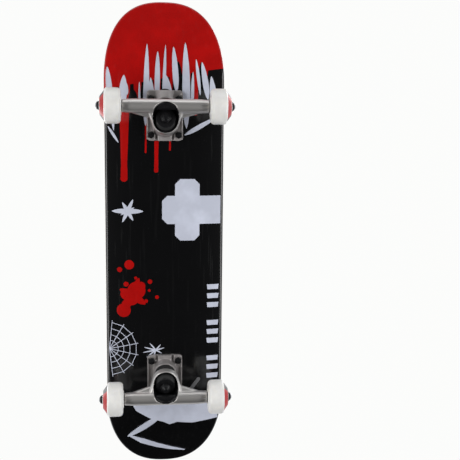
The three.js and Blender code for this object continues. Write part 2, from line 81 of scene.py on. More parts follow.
# ---------------------------------------------------------------- settings
def length(name, description, default):
    return bpy.props.FloatProperty(
        name=name, description=description, default=default, precision=5, subtype="DISTANCE", unit="LENGTH"
    )


def angle(name, description, degrees):
    return bpy.props.FloatProperty(
        name=name, description=description, default=math.radians(degrees), subtype="ANGLE", unit="ROTATION"
    )


def colour(name, description, default):
    return bpy.props.FloatVectorProperty(
        name=name, description=description, default=(*default, 1), size=4, min=0, max=1, subtype="COLOR"
    )


class DeckSizes(bpy.types.PropertyGroup):
    width: length("Width", "Width of the deck between its rails", DECK_BOX[1].y - DECK_BOX[0].y)
    half_length: length("Half length", "Middle of the deck to either tip", DECK_BOX[1].x)
    underside: length("Underside", "Ground to the level part of the underside", DECK_BOX[0].z)
    thickness: length("Thickness", "Thickness of the pressed plies", 11 * MM)
    nose_overhang: length("Nose overhang", "Outer bolts to the nose's tip", 147.7 * MM)
    tail_overhang: length("Tail overhang", "Outer bolts to the tail's tip", 137.4 * MM)
    flat_beyond_bolts: length("Flat beyond bolts", "Level wood outside the outer bolts", 9 * MM)
    kick_radius: length("Kick radius", "Radius that the nose and tail are bent to", 120 * MM)
    nose_angle: angle("Nose angle", "How steeply the nose rises", 22.5)
    tail_angle: angle("Tail angle", "How steeply the tail rises", 23.5)
    concave_rise: length("Concave rise", "Height of the rails over the middle", 7.4 * MM)
    concave_flat: length("Concave flat", "Half-width of the level strip", 30 * MM)
    nose_taper: length("Nose taper", "Length of the rounded nose", 131 * MM)
    tail_taper: length("Tail taper", "Length of the rounded tail", 140 * MM)
    rim_radius: length("Rim radius", "Rounding of the deck's edges", 3.4 * MM)


class GripSizes(bpy.types.PropertyGroup):
    thickness: length("Thickness", "Thickness of the sheet", 1.0 * MM)
    inset: length("Inset", "Bare rim left round the sheet", 3.5 * MM)
    strip: length("Bare strip", "Bare wood between the two sheets", 2 * GRIP_BOX[0].x)
    hole: length("Bolt hole", "Radius of the hole round a bolt head", 5.15 * MM)


class TruckSizes(bpy.types.PropertyGroup):
    lean: angle("Kingpin lean", "Lean of the kingpin out towards the axle", 20)
    pivot_reach: length("Pivot reach", "Ring's centre to the pivot's centre", 43.305 * MM)
    ring_radius: length("Ring radius", "Outer radius of the hanger's ring", 20.3 * MM)
    ring_thickness: length("Ring thickness", "Thickness of the hanger's ring", 9 * MM)
    hanger_width: length("Hanger width", "Length of the hanger's bar", 127 * MM)
    bar_radius: length("Bar radius", "Radius of the bar round the axle", 10.5 * MM)
    bar_end_radius: length("Bar end radius", "Radius of the bar at its ends", 9.4 * MM)
    washer_radius: length("Road washer radius", "Radius of the road side cup washer", 14.5 * MM)
    bushing_radius: length("Bushing radius", "Radius of the bushings", 16 * MM)
    board_bushing: length("Board side bushing", "Height of the board side bushing", 14.8 * MM)
    road_bushing: length("Road side bushing", "Height of the road side bushing", 10.8 * MM)
    seat: length("Bushing seat", "Ring's centre to either bushing seat", 3 * MM)
    plate_inner: length("Plate inner end", "Middle of the bolts to the plate's inner end", 36 * MM)
    plate_outer: length("Plate outer end", "Middle of the bolts to the plate's outer end", 40 * MM)
    plate_width: length("Plate width", "Width of the baseplate", 55 * MM)
    plate_thickness: length("Plate thickness", "Thickness of the baseplate's flange", 6 * MM)
    cast_grain: length("Cast grain", "Voxel size that rounds the castings' corners", 0.75 * MM)


class WheelSizes(bpy.types.PropertyGroup):
    radius: length("Radius", "Radius of the tread", (FRONT_WHEEL[1].z - FRONT_WHEEL[0].z) / 2)
    width: length("Width", "Width over the hub faces", FRONT_WHEEL[1].y - FRONT_WHEEL[0].y)
    bearing_radius: length("Bearing radius", "Outer radius of a bearing",
                           (FRONT_BEARING[1].z - FRONT_BEARING[0].z) / 2)
    bearing_width: length("Bearing width", "Width of a bearing", FRONT_BEARING[1].y - FRONT_BEARING[0].y)
    axle_radius: length("Axle radius", "Radius of the axle", 3.97 * MM)
    tread_outer: length("Outer tread", "Wheel's middle to the level tread's outer edge", 4.4 * MM)
    tread_inner: length("Inner tread", "Wheel's middle to the level tread's inner edge", 8.6 * MM)
    cone_radius: length("Cone radius", "Radius where the coned outer side starts", 23 * MM)
    cone_depth: length("Cone depth", "Depth of the coned outer side", 7.2 * MM)
    hub: length("Hub face", "Outer radius of the level face round the bearing", 12.8 * MM)


class Colours(bpy.types.PropertyGroup):
    lacquer: colour("Lacquer", "Black lacquer of the underside", (0.0026, 0.0026, 0.0029))
    red: colour("Red", "Red of the printed pattern", (0.43, 0.0028, 0.0020))
    pale: colour("Pale", "Pale violet white of the printed pattern", (0.62, 0.65, 0.76))
    grey: colour("Grey", "Grey of the printed pattern", (0.16, 0.16, 0.165))
    maple: colour("Maple", "Bare maple", (0.62, 0.40, 0.19))
    grip: colour("Grip", "Grit of the grip tape", (0.0135, 0.0112, 0.0150))
    cast: colour("Cast metal", "Cast aluminium of the hangers", (0.275, 0.250, 0.240))
    plate: colour("Baseplate metal", "Darker cast aluminium of the baseplates", (0.380, 0.356, 0.350))
    steel: colour("Steel", "Bright steel of the axles and bearings", (0.60, 0.60, 0.61))
    # Also the black painted shade inside the hangers' kingpin recesses.
    black_steel: colour("Black steel", "Blackened bolts, nuts and washers", (0.010, 0.010, 0.011))
    rubber: colour("Rubber", "Bushings and pivot cups", (0.010, 0.0095, 0.010))
    urethane: colour("Urethane", "Cast wheels", (0.83, 0.82, 0.79))


# ---------------------------------------------------------------- materials
def group_socket(group, name, direction, kind, default=None):
    socket = group.interface.new_socket(name=name, in_out=direction, socket_type=kind)
    if default is not None:
        socket.default_value = default


def link(tree, source, target):
    tree.links.new(source, target)


def node(tree, kind, **values):
    """A shader node with its attributes and its named or numbered inputs set."""
    made = tree.nodes.new(kind)
    for key, value in values.items():
        if hasattr(made, key):
            setattr(made, key, value)
        else:
            made.inputs[key.replace("_", " ")].default_value = value
    return made


def ramp(tree, stops):
    made = tree.nodes.new("ShaderNodeValToRGB")
    elements = made.color_ramp.elements
    while len(elements) < len(stops):
        elements.new(0.5)
    for element, (position, value) in zip(elements, stops):
        element.position = position
        element.color = (value, value, value, 1)
    return made


def make_speckle_group():
    """Fine irregular grain: a mask from 0 to 1 and a height, from two sizes of noise."""
    group = bpy.data.node_groups.new("speckle", "ShaderNodeTree")
    group_socket(group, "Vector", "INPUT", "NodeSocketVector")
    group_socket(group, "Scale", "INPUT", "NodeSocketFloat", 500.0)
    group_socket(group, "Mask", "OUTPUT", "NodeSocketFloat")
    group_socket(group, "Height", "OUTPUT", "NodeSocketFloat")
    inside = group.nodes.new("NodeGroupInput")
    outside = group.nodes.new("NodeGroupOutput")
    coarse = node(group, "ShaderNodeTexNoise", Detail=3.0, Roughness=0.6)
    fine = node(group, "ShaderNodeTexNoise", Detail=2.0)
    finer = node(group, "ShaderNodeMath", operation="MULTIPLY")
    finer.inputs[1].default_value = 4.3
    both = node(group, "ShaderNodeMath", operation="MULTIPLY_ADD")
    both.inputs[1].default_value = 0.4
    contrast = ramp(group, [(0.42, 0.0), (0.68, 1.0)])
    for noise in (coarse, fine):
        link(group, inside.outputs["Vector"], noise.inputs["Vector"])
    link(group, inside.outputs["Scale"], coarse.inputs["Scale"])
    link(group, inside.outputs["Scale"], finer.inputs[0])
    link(group, finer.outputs[0], fine.inputs["Scale"])
    link(group, fine.outputs["Fac"], both.inputs[0])
    link(group, coarse.outputs["Fac"], both.inputs[2])
    link(group, both.outputs[0], outside.inputs["Height"])
    link(group, coarse.outputs["Fac"], contrast.inputs["Fac"])
    link(group, contrast.outputs["Color"], outside.inputs["Mask"])
    return group


def make_scuff_group():
    """Sparse fine scratches in two directions, as a mask."""
    group = bpy.data.node_groups.new("scuffs", "ShaderNodeTree")
    group_socket(group, "Vector", "INPUT", "NodeSocketVector")
    group_socket(group, "Scale", "INPUT", "NodeSocketFloat", 40.0)
    group_socket(group, "Mask", "OUTPUT", "NodeSocketFloat")
    inside = group.nodes.new("NodeGroupInput")
    outside = group.nodes.new("NodeGroupOutput")
    masks = []
    for turn, stretch in ((0.35, 26.0), (-1.1, 19.0)):
        mapping = node(group, "ShaderNodeMapping", Rotation=(0, 0, turn), Scale=(1, stretch, stretch))
        noise = node(group, "ShaderNodeTexNoise", Detail=1.0)
        thin = ramp(group, [(0.655, 0.0), (0.70, 1.0)])
        link(group, inside.outputs["Vector"], mapping.inputs["Vector"])
        link(group, mapping.outputs[0], noise.inputs["Vector"])
        link(group, inside.outputs["Scale"], noise.inputs["Scale"])
        link(group, noise.outputs["Fac"], thin.inputs["Fac"])
        masks.append(thin)
    most = node(group, "ShaderNodeMath", operation="MAXIMUM")
    link(group, masks[0].outputs["Color"], most.inputs[0])
    link(group, masks[1].outputs["Color"], most.inputs[1])
    link(group, most.outputs[0], outside.inputs["Mask"])
    return group


GROUP_MAKERS = {"speckle": make_speckle_group, "scuffs": make_scuff_group}


def effect(tree, name, coordinates, scale):
    """Places a shared effect group in a material."""
    group = bpy.data.node_groups.get(name) or GROUP_MAKERS[name]()
    made = tree.nodes.new("ShaderNodeGroup")
    made.node_tree = group
    made.inputs["Scale"].default_value = scale
    link(tree, coordinates, made.inputs["Vector"])
    return made


def new_material(name):
    """A material with a Principled shader, and the object coordinates that its patterns read."""
    material = bpy.data.materials.new(name)
    material.use_nodes = True
    tree = material.node_tree
    shader = tree.nodes["Principled BSDF"]
    coordinates = tree.nodes.new("ShaderNodeTexCoord").outputs["Object"]
    return material, tree, shader, coordinates


def vary(tree, shader, colour_value, mask, amount):
    """Lightens and darkens a colour by a mask, by the given share each way."""
    mix = node(tree, "ShaderNodeMix", data_type="RGBA")
    for name, factor in (("A", 1 - amount), ("B", 1 + amount)):
        mix.inputs[name].default_value = (*[min(1, channel * factor) for channel in colour_value[:3]], 1)
    link(tree, mask, mix.inputs["Factor"])
    link(tree, mix.outputs["Result"], shader.inputs["Base Color"])


def vary_roughness(tree, shader, mask, low, high):
    spread = node(tree, "ShaderNodeMapRange", To_Min=low, To_Max=high)
    link(tree, mask, spread.inputs["Value"])
    link(tree, spread.outputs["Result"], shader.inputs["Roughness"])


def bump(tree, shader, height, strength, distance):
    made = node(tree, "ShaderNodeBump", Strength=strength, Distance=distance)
    link(tree, height, made.inputs["Height"])
    link(tree, made.outputs["Normal"], shader.inputs["Normal"])


def lacquer_material(name, colour_value, gloss=0.16):
    """Glossy printed lacquer over wood: slight tone changes, faint scratches and orange peel."""
    material, tree, shader, coordinates = new_material(name)
    clouds = effect(tree, "speckle", coordinates, 22.0)
    vary(tree, shader, colour_value, clouds.outputs["Mask"], 0.10)
    scratches = effect(tree, "scuffs", coordinates, 9.0)
    vary_roughness(tree, shader, scratches.outputs["Mask"], gloss, gloss + 0.10)
    shader.inputs["Coat Weight"].default_value = 0.25
    shader.inputs["Coat Roughness"].default_value = 0.07
    peel = effect(tree, "speckle", coordinates, 260.0)
    bump(tree, shader, peel.outputs["Height"], 0.02, 0.0004)
    return material


def veneer_material(name, colour_value):
    """Bare maple with its grain along the board."""
    material, tree, shader, coordinates = new_material(name)
    stretch = node(tree, "ShaderNodeMapping", Scale=(9.0, 260.0, 260.0))
    link(tree, coordinates, stretch.inputs["Vector"])
    fibres = node(tree, "ShaderNodeTexNoise", Scale=1.0, Detail=5.0, Roughness=0.62, Distortion=0.35)
    link(tree, stretch.outputs[0], fibres.inputs["Vector"])
    contrast = ramp(tree, [(0.30, 0.0), (0.72, 1.0)])
    link(tree, fibres.outputs["Fac"], contrast.inputs["Fac"])
    vary(tree, shader, colour_value, contrast.outputs["Color"], 0.17)
    vary_roughness(tree, shader, fibres.outputs["Fac"], 0.34, 0.52)
    bump(tree, shader, fibres.outputs["Fac"], 0.12, 0.0003)
    return material


def ply_material(name, colour_value, plies=7):
    """The cut edge of the plies: bands by depth in the wood, end grain and thin glue lines."""
    material, tree, shader, coordinates = new_material(name)
    depth = node(tree, "ShaderNodeAttribute", attribute_name="ply_depth")
    count = node(tree, "ShaderNodeMath", operation="MULTIPLY")
    count.inputs[1].default_value = plies
    inside_ply = node(tree, "ShaderNodeMath", operation="PINGPONG")
    inside_ply.inputs[1].default_value = 0.5
    glue = ramp(tree, [(0.0, 0.0), (0.10, 1.0)])
    which = node(tree, "ShaderNodeMath", operation="FLOOR")
    hashed = node(tree, "ShaderNodeTexWhiteNoise", noise_dimensions="1D")
    grain = effect(tree, "speckle", coordinates, 700.0)
    tone = node(tree, "ShaderNodeMix", data_type="RGBA")
    light = [channel * factor for channel, factor in zip(colour_value[:3], (1.18, 1.32, 1.75))]
    tone.inputs["A"].default_value = (*colour_value[:3], 1)
    tone.inputs["B"].default_value = (*light, 1)
    dark = node(tree, "ShaderNodeMix", data_type="RGBA")
    dark.inputs["A"].default_value = (0.16, 0.085, 0.035, 1)
    link(tree, depth.outputs["Fac"], count.inputs[0])
    link(tree, count.outputs[0], inside_ply.inputs[0])
    link(tree, count.outputs[0], which.inputs[0])
    link(tree, inside_ply.outputs[0], glue.inputs["Fac"])
    link(tree, which.outputs[0], hashed.inputs["W"])
    link(tree, hashed.outputs["Value"], tone.inputs["Factor"])
    link(tree, glue.outputs["Color"], dark.inputs["Factor"])
    link(tree, tone.outputs["Result"], dark.inputs["B"])
    link(tree, dark.outputs["Result"], shader.inputs["Base Color"])
    vary_roughness(tree, shader, grain.outputs["Mask"], 0.42, 0.62)
    bump(tree, shader, grain.outputs["Height"], 0.25, 0.0003)
    return material


def grit_material(name, colour_value):
    """Silicon carbide grit in black resin: coarse bump, tone changes and painted glints on single grains."""
    material, tree, shader, coordinates = new_material(name)
    shader.inputs["Specular IOR Level"].default_value = 0.3
    grains = node(tree, "ShaderNodeTexVoronoi", Scale=1500.0)
    link(tree, coordinates, grains.inputs["Vector"])
    # Sparse single grains, to be painted lighter as glints.
    glints = ramp(tree, [(0.86, 0.0), (0.97, 1.0)])
    channel = node(tree, "ShaderNodeSeparateColor")
    link(tree, grains.outputs["Color"], channel.inputs["Color"])
    link(tree, channel.outputs[0], glints.inputs["Fac"])
    tone = effect(tree, "speckle", coordinates, 620.0)
    base = node(tree, "ShaderNodeMix", data_type="RGBA")
    base.inputs["A"].default_value = (*[channel_value * 0.62 for channel_value in colour_value[:3]], 1)
    base.inputs["B"].default_value = (*[channel_value * 1.9 for channel_value in colour_value[:3]], 1)
    link(tree, tone.outputs["Mask"], base.inputs["Factor"])
    # Lightens those grains' base colour as painted glints.
    bright = node(tree, "ShaderNodeMix", data_type="RGBA")
    bright.inputs["B"].default_value = (0.15, 0.14, 0.16, 1)
    link(tree, glints.outputs["Color"], bright.inputs["Factor"])
    link(tree, base.outputs["Result"], bright.inputs["A"])
    link(tree, bright.outputs["Result"], shader.inputs["Base Color"])
    vary_roughness(tree, shader, channel.outputs[1], 0.55, 0.95)
    bump(tree, shader, grains.outputs["Distance"], 0.8, 0.0006)
    return material


def metal_material(name, colour_value, roughness, spread, grain_scale, depth, metallic=1.0, shine=0.5):
    """Metal with grain and light scuffs: cast skin, turned steel or black oxide by its values."""
    material, tree, shader, coordinates = new_material(name)
    shader.inputs["Metallic"].default_value = metallic
    shader.inputs["Specular IOR Level"].default_value = shine
    grain = effect(tree, "speckle", coordinates, grain_scale)
    mottle = effect(tree, "speckle", coordinates, 60.0)
    vary(tree, shader, colour_value, mottle.outputs["Mask"], 0.10)
    wear = effect(tree, "scuffs", coordinates, 30.0)
    worn = node(tree, "ShaderNodeMath", operation="MULTIPLY_ADD")
    worn.inputs[1].default_value = 0.5
    link(tree, wear.outputs["Mask"], worn.inputs[0])
    link(tree, grain.outputs["Mask"], worn.inputs[2])
    vary_roughness(tree, shader, worn.outputs[0], roughness, roughness + spread)
    bump(tree, shader, grain.outputs["Height"], 0.3, depth)
    return material


def moulded_material(name, colour_value, roughness, grain_scale, depth, subsurface=0.0):
    """Cast urethane, rubber or nylon: even colour with faint clouds and a fine moulded skin."""
    material, tree, shader, coordinates = new_material(name)
    clouds = effect(tree, "speckle", coordinates, 75.0)
    vary(tree, shader, colour_value, clouds.outputs["Mask"], 0.035)
    marks = effect(tree, "scuffs", coordinates, 38.0)
    vary_roughness(tree, shader, marks.outputs["Mask"], roughness, roughness + 0.18)
    skin = effect(tree, "speckle", coordinates, grain_scale)
    bump(tree, shader, skin.outputs["Height"], 0.15, depth)
    if subsurface:
        shader.inputs["Subsurface Weight"].default_value = subsurface
        shader.inputs["Subsurface Radius"].default_value = (0.9, 0.8, 0.6)
        shader.inputs["Subsurface Scale"].default_value = 0.004
    return material


# The maker of each finish, its colour by name or value, and the maker's other values.
FINISHES = {
    "lacquer_black": (lacquer_material, "lacquer"),
    "lacquer_red": (lacquer_material, "red", 0.17),
    "ink_red": (lacquer_material, "red", 0.17),
    "ink_pale": (lacquer_material, "pale", 0.3),
    "ink_black": (lacquer_material, "lacquer"),
    "ink_grey": (lacquer_material, "grey", 0.28),
    "maple_veneer": (veneer_material, "maple"),
    "ply_edge": (ply_material, "maple"),
    "burnt_line": (lacquer_material, (0.06, 0.028, 0.012), 0.5),
    "grip_grit": (grit_material, "grip"),
    "cast_aluminium": (metal_material, "cast", 0.42, 0.16, 900.0, 0.0002, 0.8),
    "plate_aluminium": (metal_material, "plate", 0.44, 0.16, 900.0, 0.0002, 0.55),
    "bright_steel": (metal_material, "steel", 0.16, 0.16, 2600.0, 0.00005),
    # Black oxide of the bolts, nuts and washers, and also the black painted shade inside the hangers' kingpin
    # recesses.
    "black_oxide": (metal_material, "black_steel", 0.26, 0.20, 1700.0, 0.0001, 0.3, 0.35),
    "bushing_rubber": (moulded_material, "rubber", 0.40, 1100.0, 0.0002),
    "nylon_ring": (moulded_material, (0.035, 0.036, 0.04), 0.42, 1500.0, 0.0001),
    "shield": (moulded_material, (0.018, 0.018, 0.02), 0.34, 1500.0, 0.0001),
    "urethane": (moulded_material, "urethane", 0.30, 900.0, 0.0001, 0.12),
    "print_red": (moulded_material, "red", 0.34, 900.0, 0.0001),
    "print_black": (moulded_material, "lacquer", 0.34, 900.0, 0.0001),
}


def finish(name):
    """A finish by its name, made the first time it is asked for."""
    maker, shade, *values = FINISHES[name]
    if isinstance(shade, str):
        shade = getattr(bpy.context.scene.skateboard_colours, shade)
    return bpy.data.materials.get(name) or maker(name, shade, *values)


# ---------------------------------------------------------------- modelling helpers
HARD_EDGE = math.radians(32)


def sharpen(bm, limit):
    """Smooth shading, with a hard line wherever two faces meet more steeply than the limit."""
    for face in bm.faces:
        face.smooth = True
    for edge in bm.edges:
        edge.smooth = len(edge.link_faces) != 2 or edge.calc_face_angle(0) < limit


def piece(name, bm, finishes, rides, replaces=(), blend=None, hard=HARD_EDGE):
    """Makes the finished object of a mesh that is already in place, and ties it to the frame unless it has a
    blend, when it is only left in place.
    """
    if hard:
        sharpen(bm, hard)
    data = bpy.data.meshes.new(name)
    bm.to_mesh(data)
    bm.free()
    for each in finishes:
        data.materials.append(finish(each))
    made = bpy.data.objects.new(name, data)
    bpy.context.scene.collection.objects.link(made)
    if blend:
        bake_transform(made)
    else:
        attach(made, rides)
    if replaces:
        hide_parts(*replaces)


def merge(bm, other):
    """Adds another mesh to this one, and frees it."""
    data = bpy.data.meshes.new("joining")
    other.to_mesh(data)
    other.free()
    bm.from_mesh(data)
    bpy.data.meshes.remove(data)


def cut_through(bm, point, normal, **options):
    return bmesh.ops.bisect_plane(bm, geom=bm.verts[:] + bm.edges[:] + bm.faces[:], plane_co=point,
                                  plane_no=normal, dist=1e-6, **options)


def round_edges(bm, edges, width, segments):
    bmesh.ops.bevel(bm, geom=edges, offset=width, offset_type="OFFSET", segments=segments, profile=0.5,
                    affect="EDGES", clamp_overlap=True, material=-1)


def thicken(bm, height):
    """Raises a flat face or sheet into a solid."""
    raised = bmesh.ops.extrude_face_region(bm, geom=bm.faces[:], use_keep_orig=True)
    lifted = [item for item in raised["geom"] if isinstance(item, bmesh.types.BMVert)]
    bmesh.ops.translate(bm, verts=lifted, vec=(0, 0, height))
    bmesh.ops.recalc_face_normals(bm, faces=bm.faces)


def spin_profile(profile, steps=64, material_of=None):
    """A solid of revolution about Y from a closed outline of (radius, height), either way round."""
    bm = bmesh.new()
    verts = [bm.verts.new((radius, height, 0)) for radius, height in profile]
    edges = [bm.edges.new(pair) for pair in zip(verts, verts[1:])]
    if profile[0][0] > 0:
        edges.append(bm.edges.new((verts[-1], verts[0])))
    bmesh.ops.spin(bm, geom=verts + edges, cent=(0, 0, 0), axis=(0, 1, 0), angle=math.tau,
                   steps=steps, use_merge=True, use_normal_flip=False, use_duplicate=False)
    bmesh.ops.remove_doubles(bm, verts=bm.verts, dist=1e-7)
    bmesh.ops.recalc_face_normals(bm, faces=bm.faces)
    if material_of:
        for face in bm.faces:
            face.material_index = material_of(face.calc_center_median())
    return bm


def arc(radius, middle, angles):
    """Outline points on an arc about a height on the axis, one for each angle in degrees."""
    return [(radius * math.cos(math.radians(a)), middle + radius * math.sin(math.radians(a)))
            for a in angles]


def soften(bm, width, segments=2, limit=math.radians(40)):
    """Rounds the sharp edges of a mesh."""
    sharp = [edge for edge in bm.edges if len(edge.link_faces) == 2 and edge.calc_face_angle(0) > limit]
    round_edges(bm, sharp, width, segments)
    return bm


def along(bm, axis, point):
    """Turns a piece made along Y so that it lies along an axis, with its zero at a point."""
    turn = Vector((0, 1, 0)).rotation_difference(Vector(axis)).to_matrix().to_4x4()
    bmesh.ops.transform(bm, matrix=Matrix.Translation(point) @ turn, verts=bm.verts)
    return bm


def prism(sides, radius, start, end, turn=0.0):
    """A regular prism about Y."""
    bm = bmesh.new()
    bmesh.ops.create_cone(bm, cap_ends=True, segments=sides, radius1=radius, radius2=radius,
                          depth=end - start)
    rotate = Matrix.Rotation(math.radians(-90), 4, "X") @ Matrix.Rotation(turn, 4, "Z")
    bmesh.ops.transform(bm, matrix=Matrix.Translation((0, (start + end) / 2, 0)) @ rotate, verts=bm.verts)
    return bm


def block(low, high):
    bm = bmesh.new()
    bmesh.ops.create_cube(bm, size=1.0)
    size = [b - a for a, b in zip(low, high)]
    middle = [(a + b) / 2 for a, b in zip(low, high)]
    bmesh.ops.scale(bm, vec=size, verts=bm.verts)
    bmesh.ops.translate(bm, vec=middle, verts=bm.verts)
    return bm


def hull(*circles):
    """The convex hull of circles, each given as (centre, axis, radius)."""
    bm = bmesh.new()
    for centre, axis, radius in circles:
        turn = Vector((0, 0, 1)).rotation_difference(Vector(axis)).to_matrix().to_4x4()
        bmesh.ops.create_circle(bm, segments=40, radius=radius, matrix=Matrix.Translation(centre) @ turn)
    result = bmesh.ops.convex_hull(bm, input=bm.verts, use_existing_faces=False)
    inner = {item for item in result["geom_interior"] if isinstance(item, bmesh.types.BMVert)}
    bmesh.ops.delete(bm, geom=list(inner), context="VERTS")
    bmesh.ops.delete(bm, geom=[edge for edge in bm.edges if not edge.link_faces], context="EDGES")
    bmesh.ops.recalc_face_normals(bm, faces=bm.faces)
    return bm


def temporary(name, bm):
    data = bpy.data.meshes.new(name)
    bm.to_mesh(data)
    bm.free()
    made = bpy.data.objects.new(name, data)
    bpy.context.scene.collection.objects.link(made)
    return made


def evaluated(obj):
    """The mesh that an object's modifiers make, as a bmesh. The object is removed."""
    bpy.context.view_layer.update()
    graph = bpy.context.evaluated_depsgraph_get()
    bm = bmesh.new()
    bm.from_object(obj, graph)
    data = obj.data
    bpy.data.objects.remove(obj)
    bpy.data.meshes.remove(data)
    return bm


def combine(bm, others, operation):
    """Joins other solids to a mesh, or cuts them from it."""
    target = temporary("target", bm)
    tools = [temporary("tool", other) for other in others]
    for tool in tools:
        modifier = target.modifiers.new("combine", "BOOLEAN")
        modifier.operation = operation
        modifier.solver = "EXACT"
        modifier.object = tool
    made = evaluated(target)
    for tool in tools:
        data = tool.data
        bpy.data.objects.remove(tool)
        bpy.data.meshes.remove(data)
    return made


def cast(bm, voxel, rounds):
    """Gives a solid the rounded corners and fillets of a casting."""
    solid = temporary("casting", bm)
    modifier = solid.modifiers.new("voxels", "REMESH")
    modifier.mode = "VOXEL"
    modifier.voxel_size = voxel
    made = evaluated(solid)
    for _ in range(rounds):
        bmesh.ops.smooth_vert(made, verts=made.verts, factor=0.5, use_axis_x=True, use_axis_y=True,
                              use_axis_z=True)
    for face in made.faces:
        face.smooth = True
    return made


# ---------------------------------------------------------------- deck
class Press:
    """The curve that a deck is pressed to, and its plan."""

    def __init__(self, deck):
        self.deck = deck
        self.nose = self.kick(deck.nose_overhang, deck.nose_angle, deck.nose_taper, 2.45)
        self.tail = self.kick(deck.tail_overhang, deck.tail_angle, deck.tail_taper, 2.3)

    def kick(self, overhang, rise, taper, power):
        deck = self.deck
        start = deck.half_length - overhang + deck.flat_beyond_bolts
        run = overhang - deck.flat_beyond_bolts
        straight = (run - deck.kick_radius * math.sin(rise)) / math.cos(rise)
        tip = start + deck.kick_radius * rise + straight
        return {"start": start, "angle": rise, "tip": tip, "taper": taper, "power": power}

    def point(self, distance, side, height):
        """Where a point of the flat sheet comes to lie."""
        deck = self.deck
        end = self.tail if distance < 0 else self.nose
        way = -1 if distance < 0 else 1
        past = max(0, abs(distance) - end["start"])
        turned = min(past / deck.kick_radius, end["angle"])
        straight = max(0, past - deck.kick_radius * end["angle"])
        x = min(abs(distance), end["start"]) + deck.kick_radius * math.sin(turned)
        x += straight * math.cos(end["angle"])
        z = deck.kick_radius * (1 - math.cos(turned)) + straight * math.sin(end["angle"])
        share = 1 + (0.35 - 1) * min(1, past / (end["tip"] - end["start"]))
        beyond = max(0, abs(side) - deck.concave_flat) / (deck.width / 2 - deck.concave_flat)
        lift = height + deck.concave_rise * share * beyond ** 1.7
        z += deck.underside + lift * math.cos(turned)
        return Vector((way * (x - lift * math.sin(turned)), side, z))

    def plan(self, turn, inset):
        """The outline's point, as distance and side, at a turn round the middle of the board."""
        half_width = self.deck.width / 2 - inset
        corner = math.radians(80)
        end, way = (self.nose, 1) if abs(turn) <= math.pi / 2 else (self.tail, -1)
        toward = turn if way > 0 else math.copysign(math.pi - abs(turn), turn)
        if abs(toward) > corner:
            share = (math.pi / 2 - abs(toward)) / (math.pi / 2 - corner)
            return way * share * (end["tip"] - end["taper"]), math.copysign(half_width, toward)
        bend = toward / corner * math.pi / 2
        reach = math.cos(bend) ** (2 / end["power"]) * (end["taper"] - inset)
        side = abs(math.sin(bend)) ** (2 / end["power"]) * half_width
        return way * (end["tip"] - end["taper"] + reach), math.copysign(side, toward)

    def stations(self):
        """Distances along the wood where a flat sheet is cut so that it can bend."""
        places = [0.0]
        for end, way in ((self.nose, 1), (self.tail, -1)):
            level = max(1, round(end["start"] / (24 * MM)))
            places += [way * end["start"] * i / level for i in range(1, level + 1)]
            reach = end["tip"] - end["start"]
            bends = round(reach / (5 * MM))
            places += [way * (end["start"] + reach * i / bends) for i in range(1, bends)]
        return places

    def slice_up(self, bm):
        """Cuts a flat sheet along the stations, and lengthwise across the concave."""
        deck = self.deck
        rows = [deck.concave_flat + (deck.width / 2 - deck.concave_flat) * i / 9 for i in range(9)]
        planes = [((x, 0, 0), (1, 0, 0)) for x in self.stations()]
        planes += [((0, sign * y, 0), (0, 1, 0)) for y in [0.012] + rows for sign in (1, -1)]
        for point, normal in planes:
            cut_through(bm, point, normal)

    def shape(self, bm):
        """Presses a flat sheet to the deck's curve."""
        self.slice_up(bm)
        for vert in bm.verts:
            vert.co = self.point(*vert.co)
        return bm


def flat_sheet(press, inset, low, high, rims, segments):
    """The deck's plan as a flat sheet with rounded lower and upper rims."""
    bm = bmesh.new()
    bmesh.ops.create_circle(bm, cap_ends=True, segments=264, radius=1.0)
    for vert in bm.verts:
        vert.co = (*press.plan(math.atan2(vert.co.y, vert.co.x), inset), low)
    thicken(bm, high - low)
    for level, rim in ((low, rims[0]), (high, rims[1])):
        edges = [e for e in bm.edges if all(abs(v.co.z - level) < 1e-7 for v in e.verts)]
        round_edges(bm, edges, rim, segments)
    return bm


def bolt_places():
    """The middle of each mounting bolt's head, at its top, by node name."""
    places = {}
    for name in frame["nodes"]:
        if name.startswith("mount_bolt_"):
            low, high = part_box(name)
            places[name] = Vector(((low.x + high.x) / 2, (low.y + high.y) / 2, high.z))
    return places


def bolt_cutters(radius, depth):
    """Countersinks for the mounting bolts, wider than the heads by a little."""
    shank, head = 2.75 * MM, radius
    profile = [(0, -40 * MM), (shank, -40 * MM), (shank, -depth), (head, -depth + head - shank),
               (head, 4 * MM), (0, 4 * MM)]
    return [along(spin_profile(profile, 32), (0, 0, 1), place) for place in bolt_places().values()]


class SKATEBOARD_OT_deck(bpy.types.Operator):
    """Presses the maple deck with its rounded rims, bolt holes and lacquered underside"""

    bl_idname = "skateboard.deck"
    bl_label = "Deck"

    def execute(self, context):
        deck = context.scene.skateboard_deck
        press = Press(deck)
        bm = flat_sheet(press, 0, 0, deck.thickness, (deck.rim_radius, 2.2 * MM), 5)
        red_from = Vector((0.258, 0, 0))
        red_lean = Vector((1, -0.2, 0)).normalized()
        cut_through(bm, red_from, red_lean)
        press.slice_up(bm)
        depth = bm.verts.layers.float.new("ply_depth")
        for vert in bm.verts:
            vert[depth] = vert.co.z / deck.thickness
        for face in bm.faces:
            middle = face.calc_center_median()
            if middle.z < deck.rim_radius * 0.8:
                face.material_index = 3 if (middle - red_from).dot(red_lean) > 0 else 2
            elif face.normal.z > 0.9 and middle.z > deck.thickness - 1e-5:
                face.material_index = 1
        for vert in bm.verts:
            vert.co = press.point(*vert.co)
        bm = combine(bm, bolt_cutters(5.0 * MM, 3.2 * MM), "DIFFERENCE")
        finishes = ("ply_edge", "maple_veneer", "lacquer_black", "lacquer_red")
        piece("deck_maple", bm, finishes, "board", ["deck"])
        return {"FINISHED"}


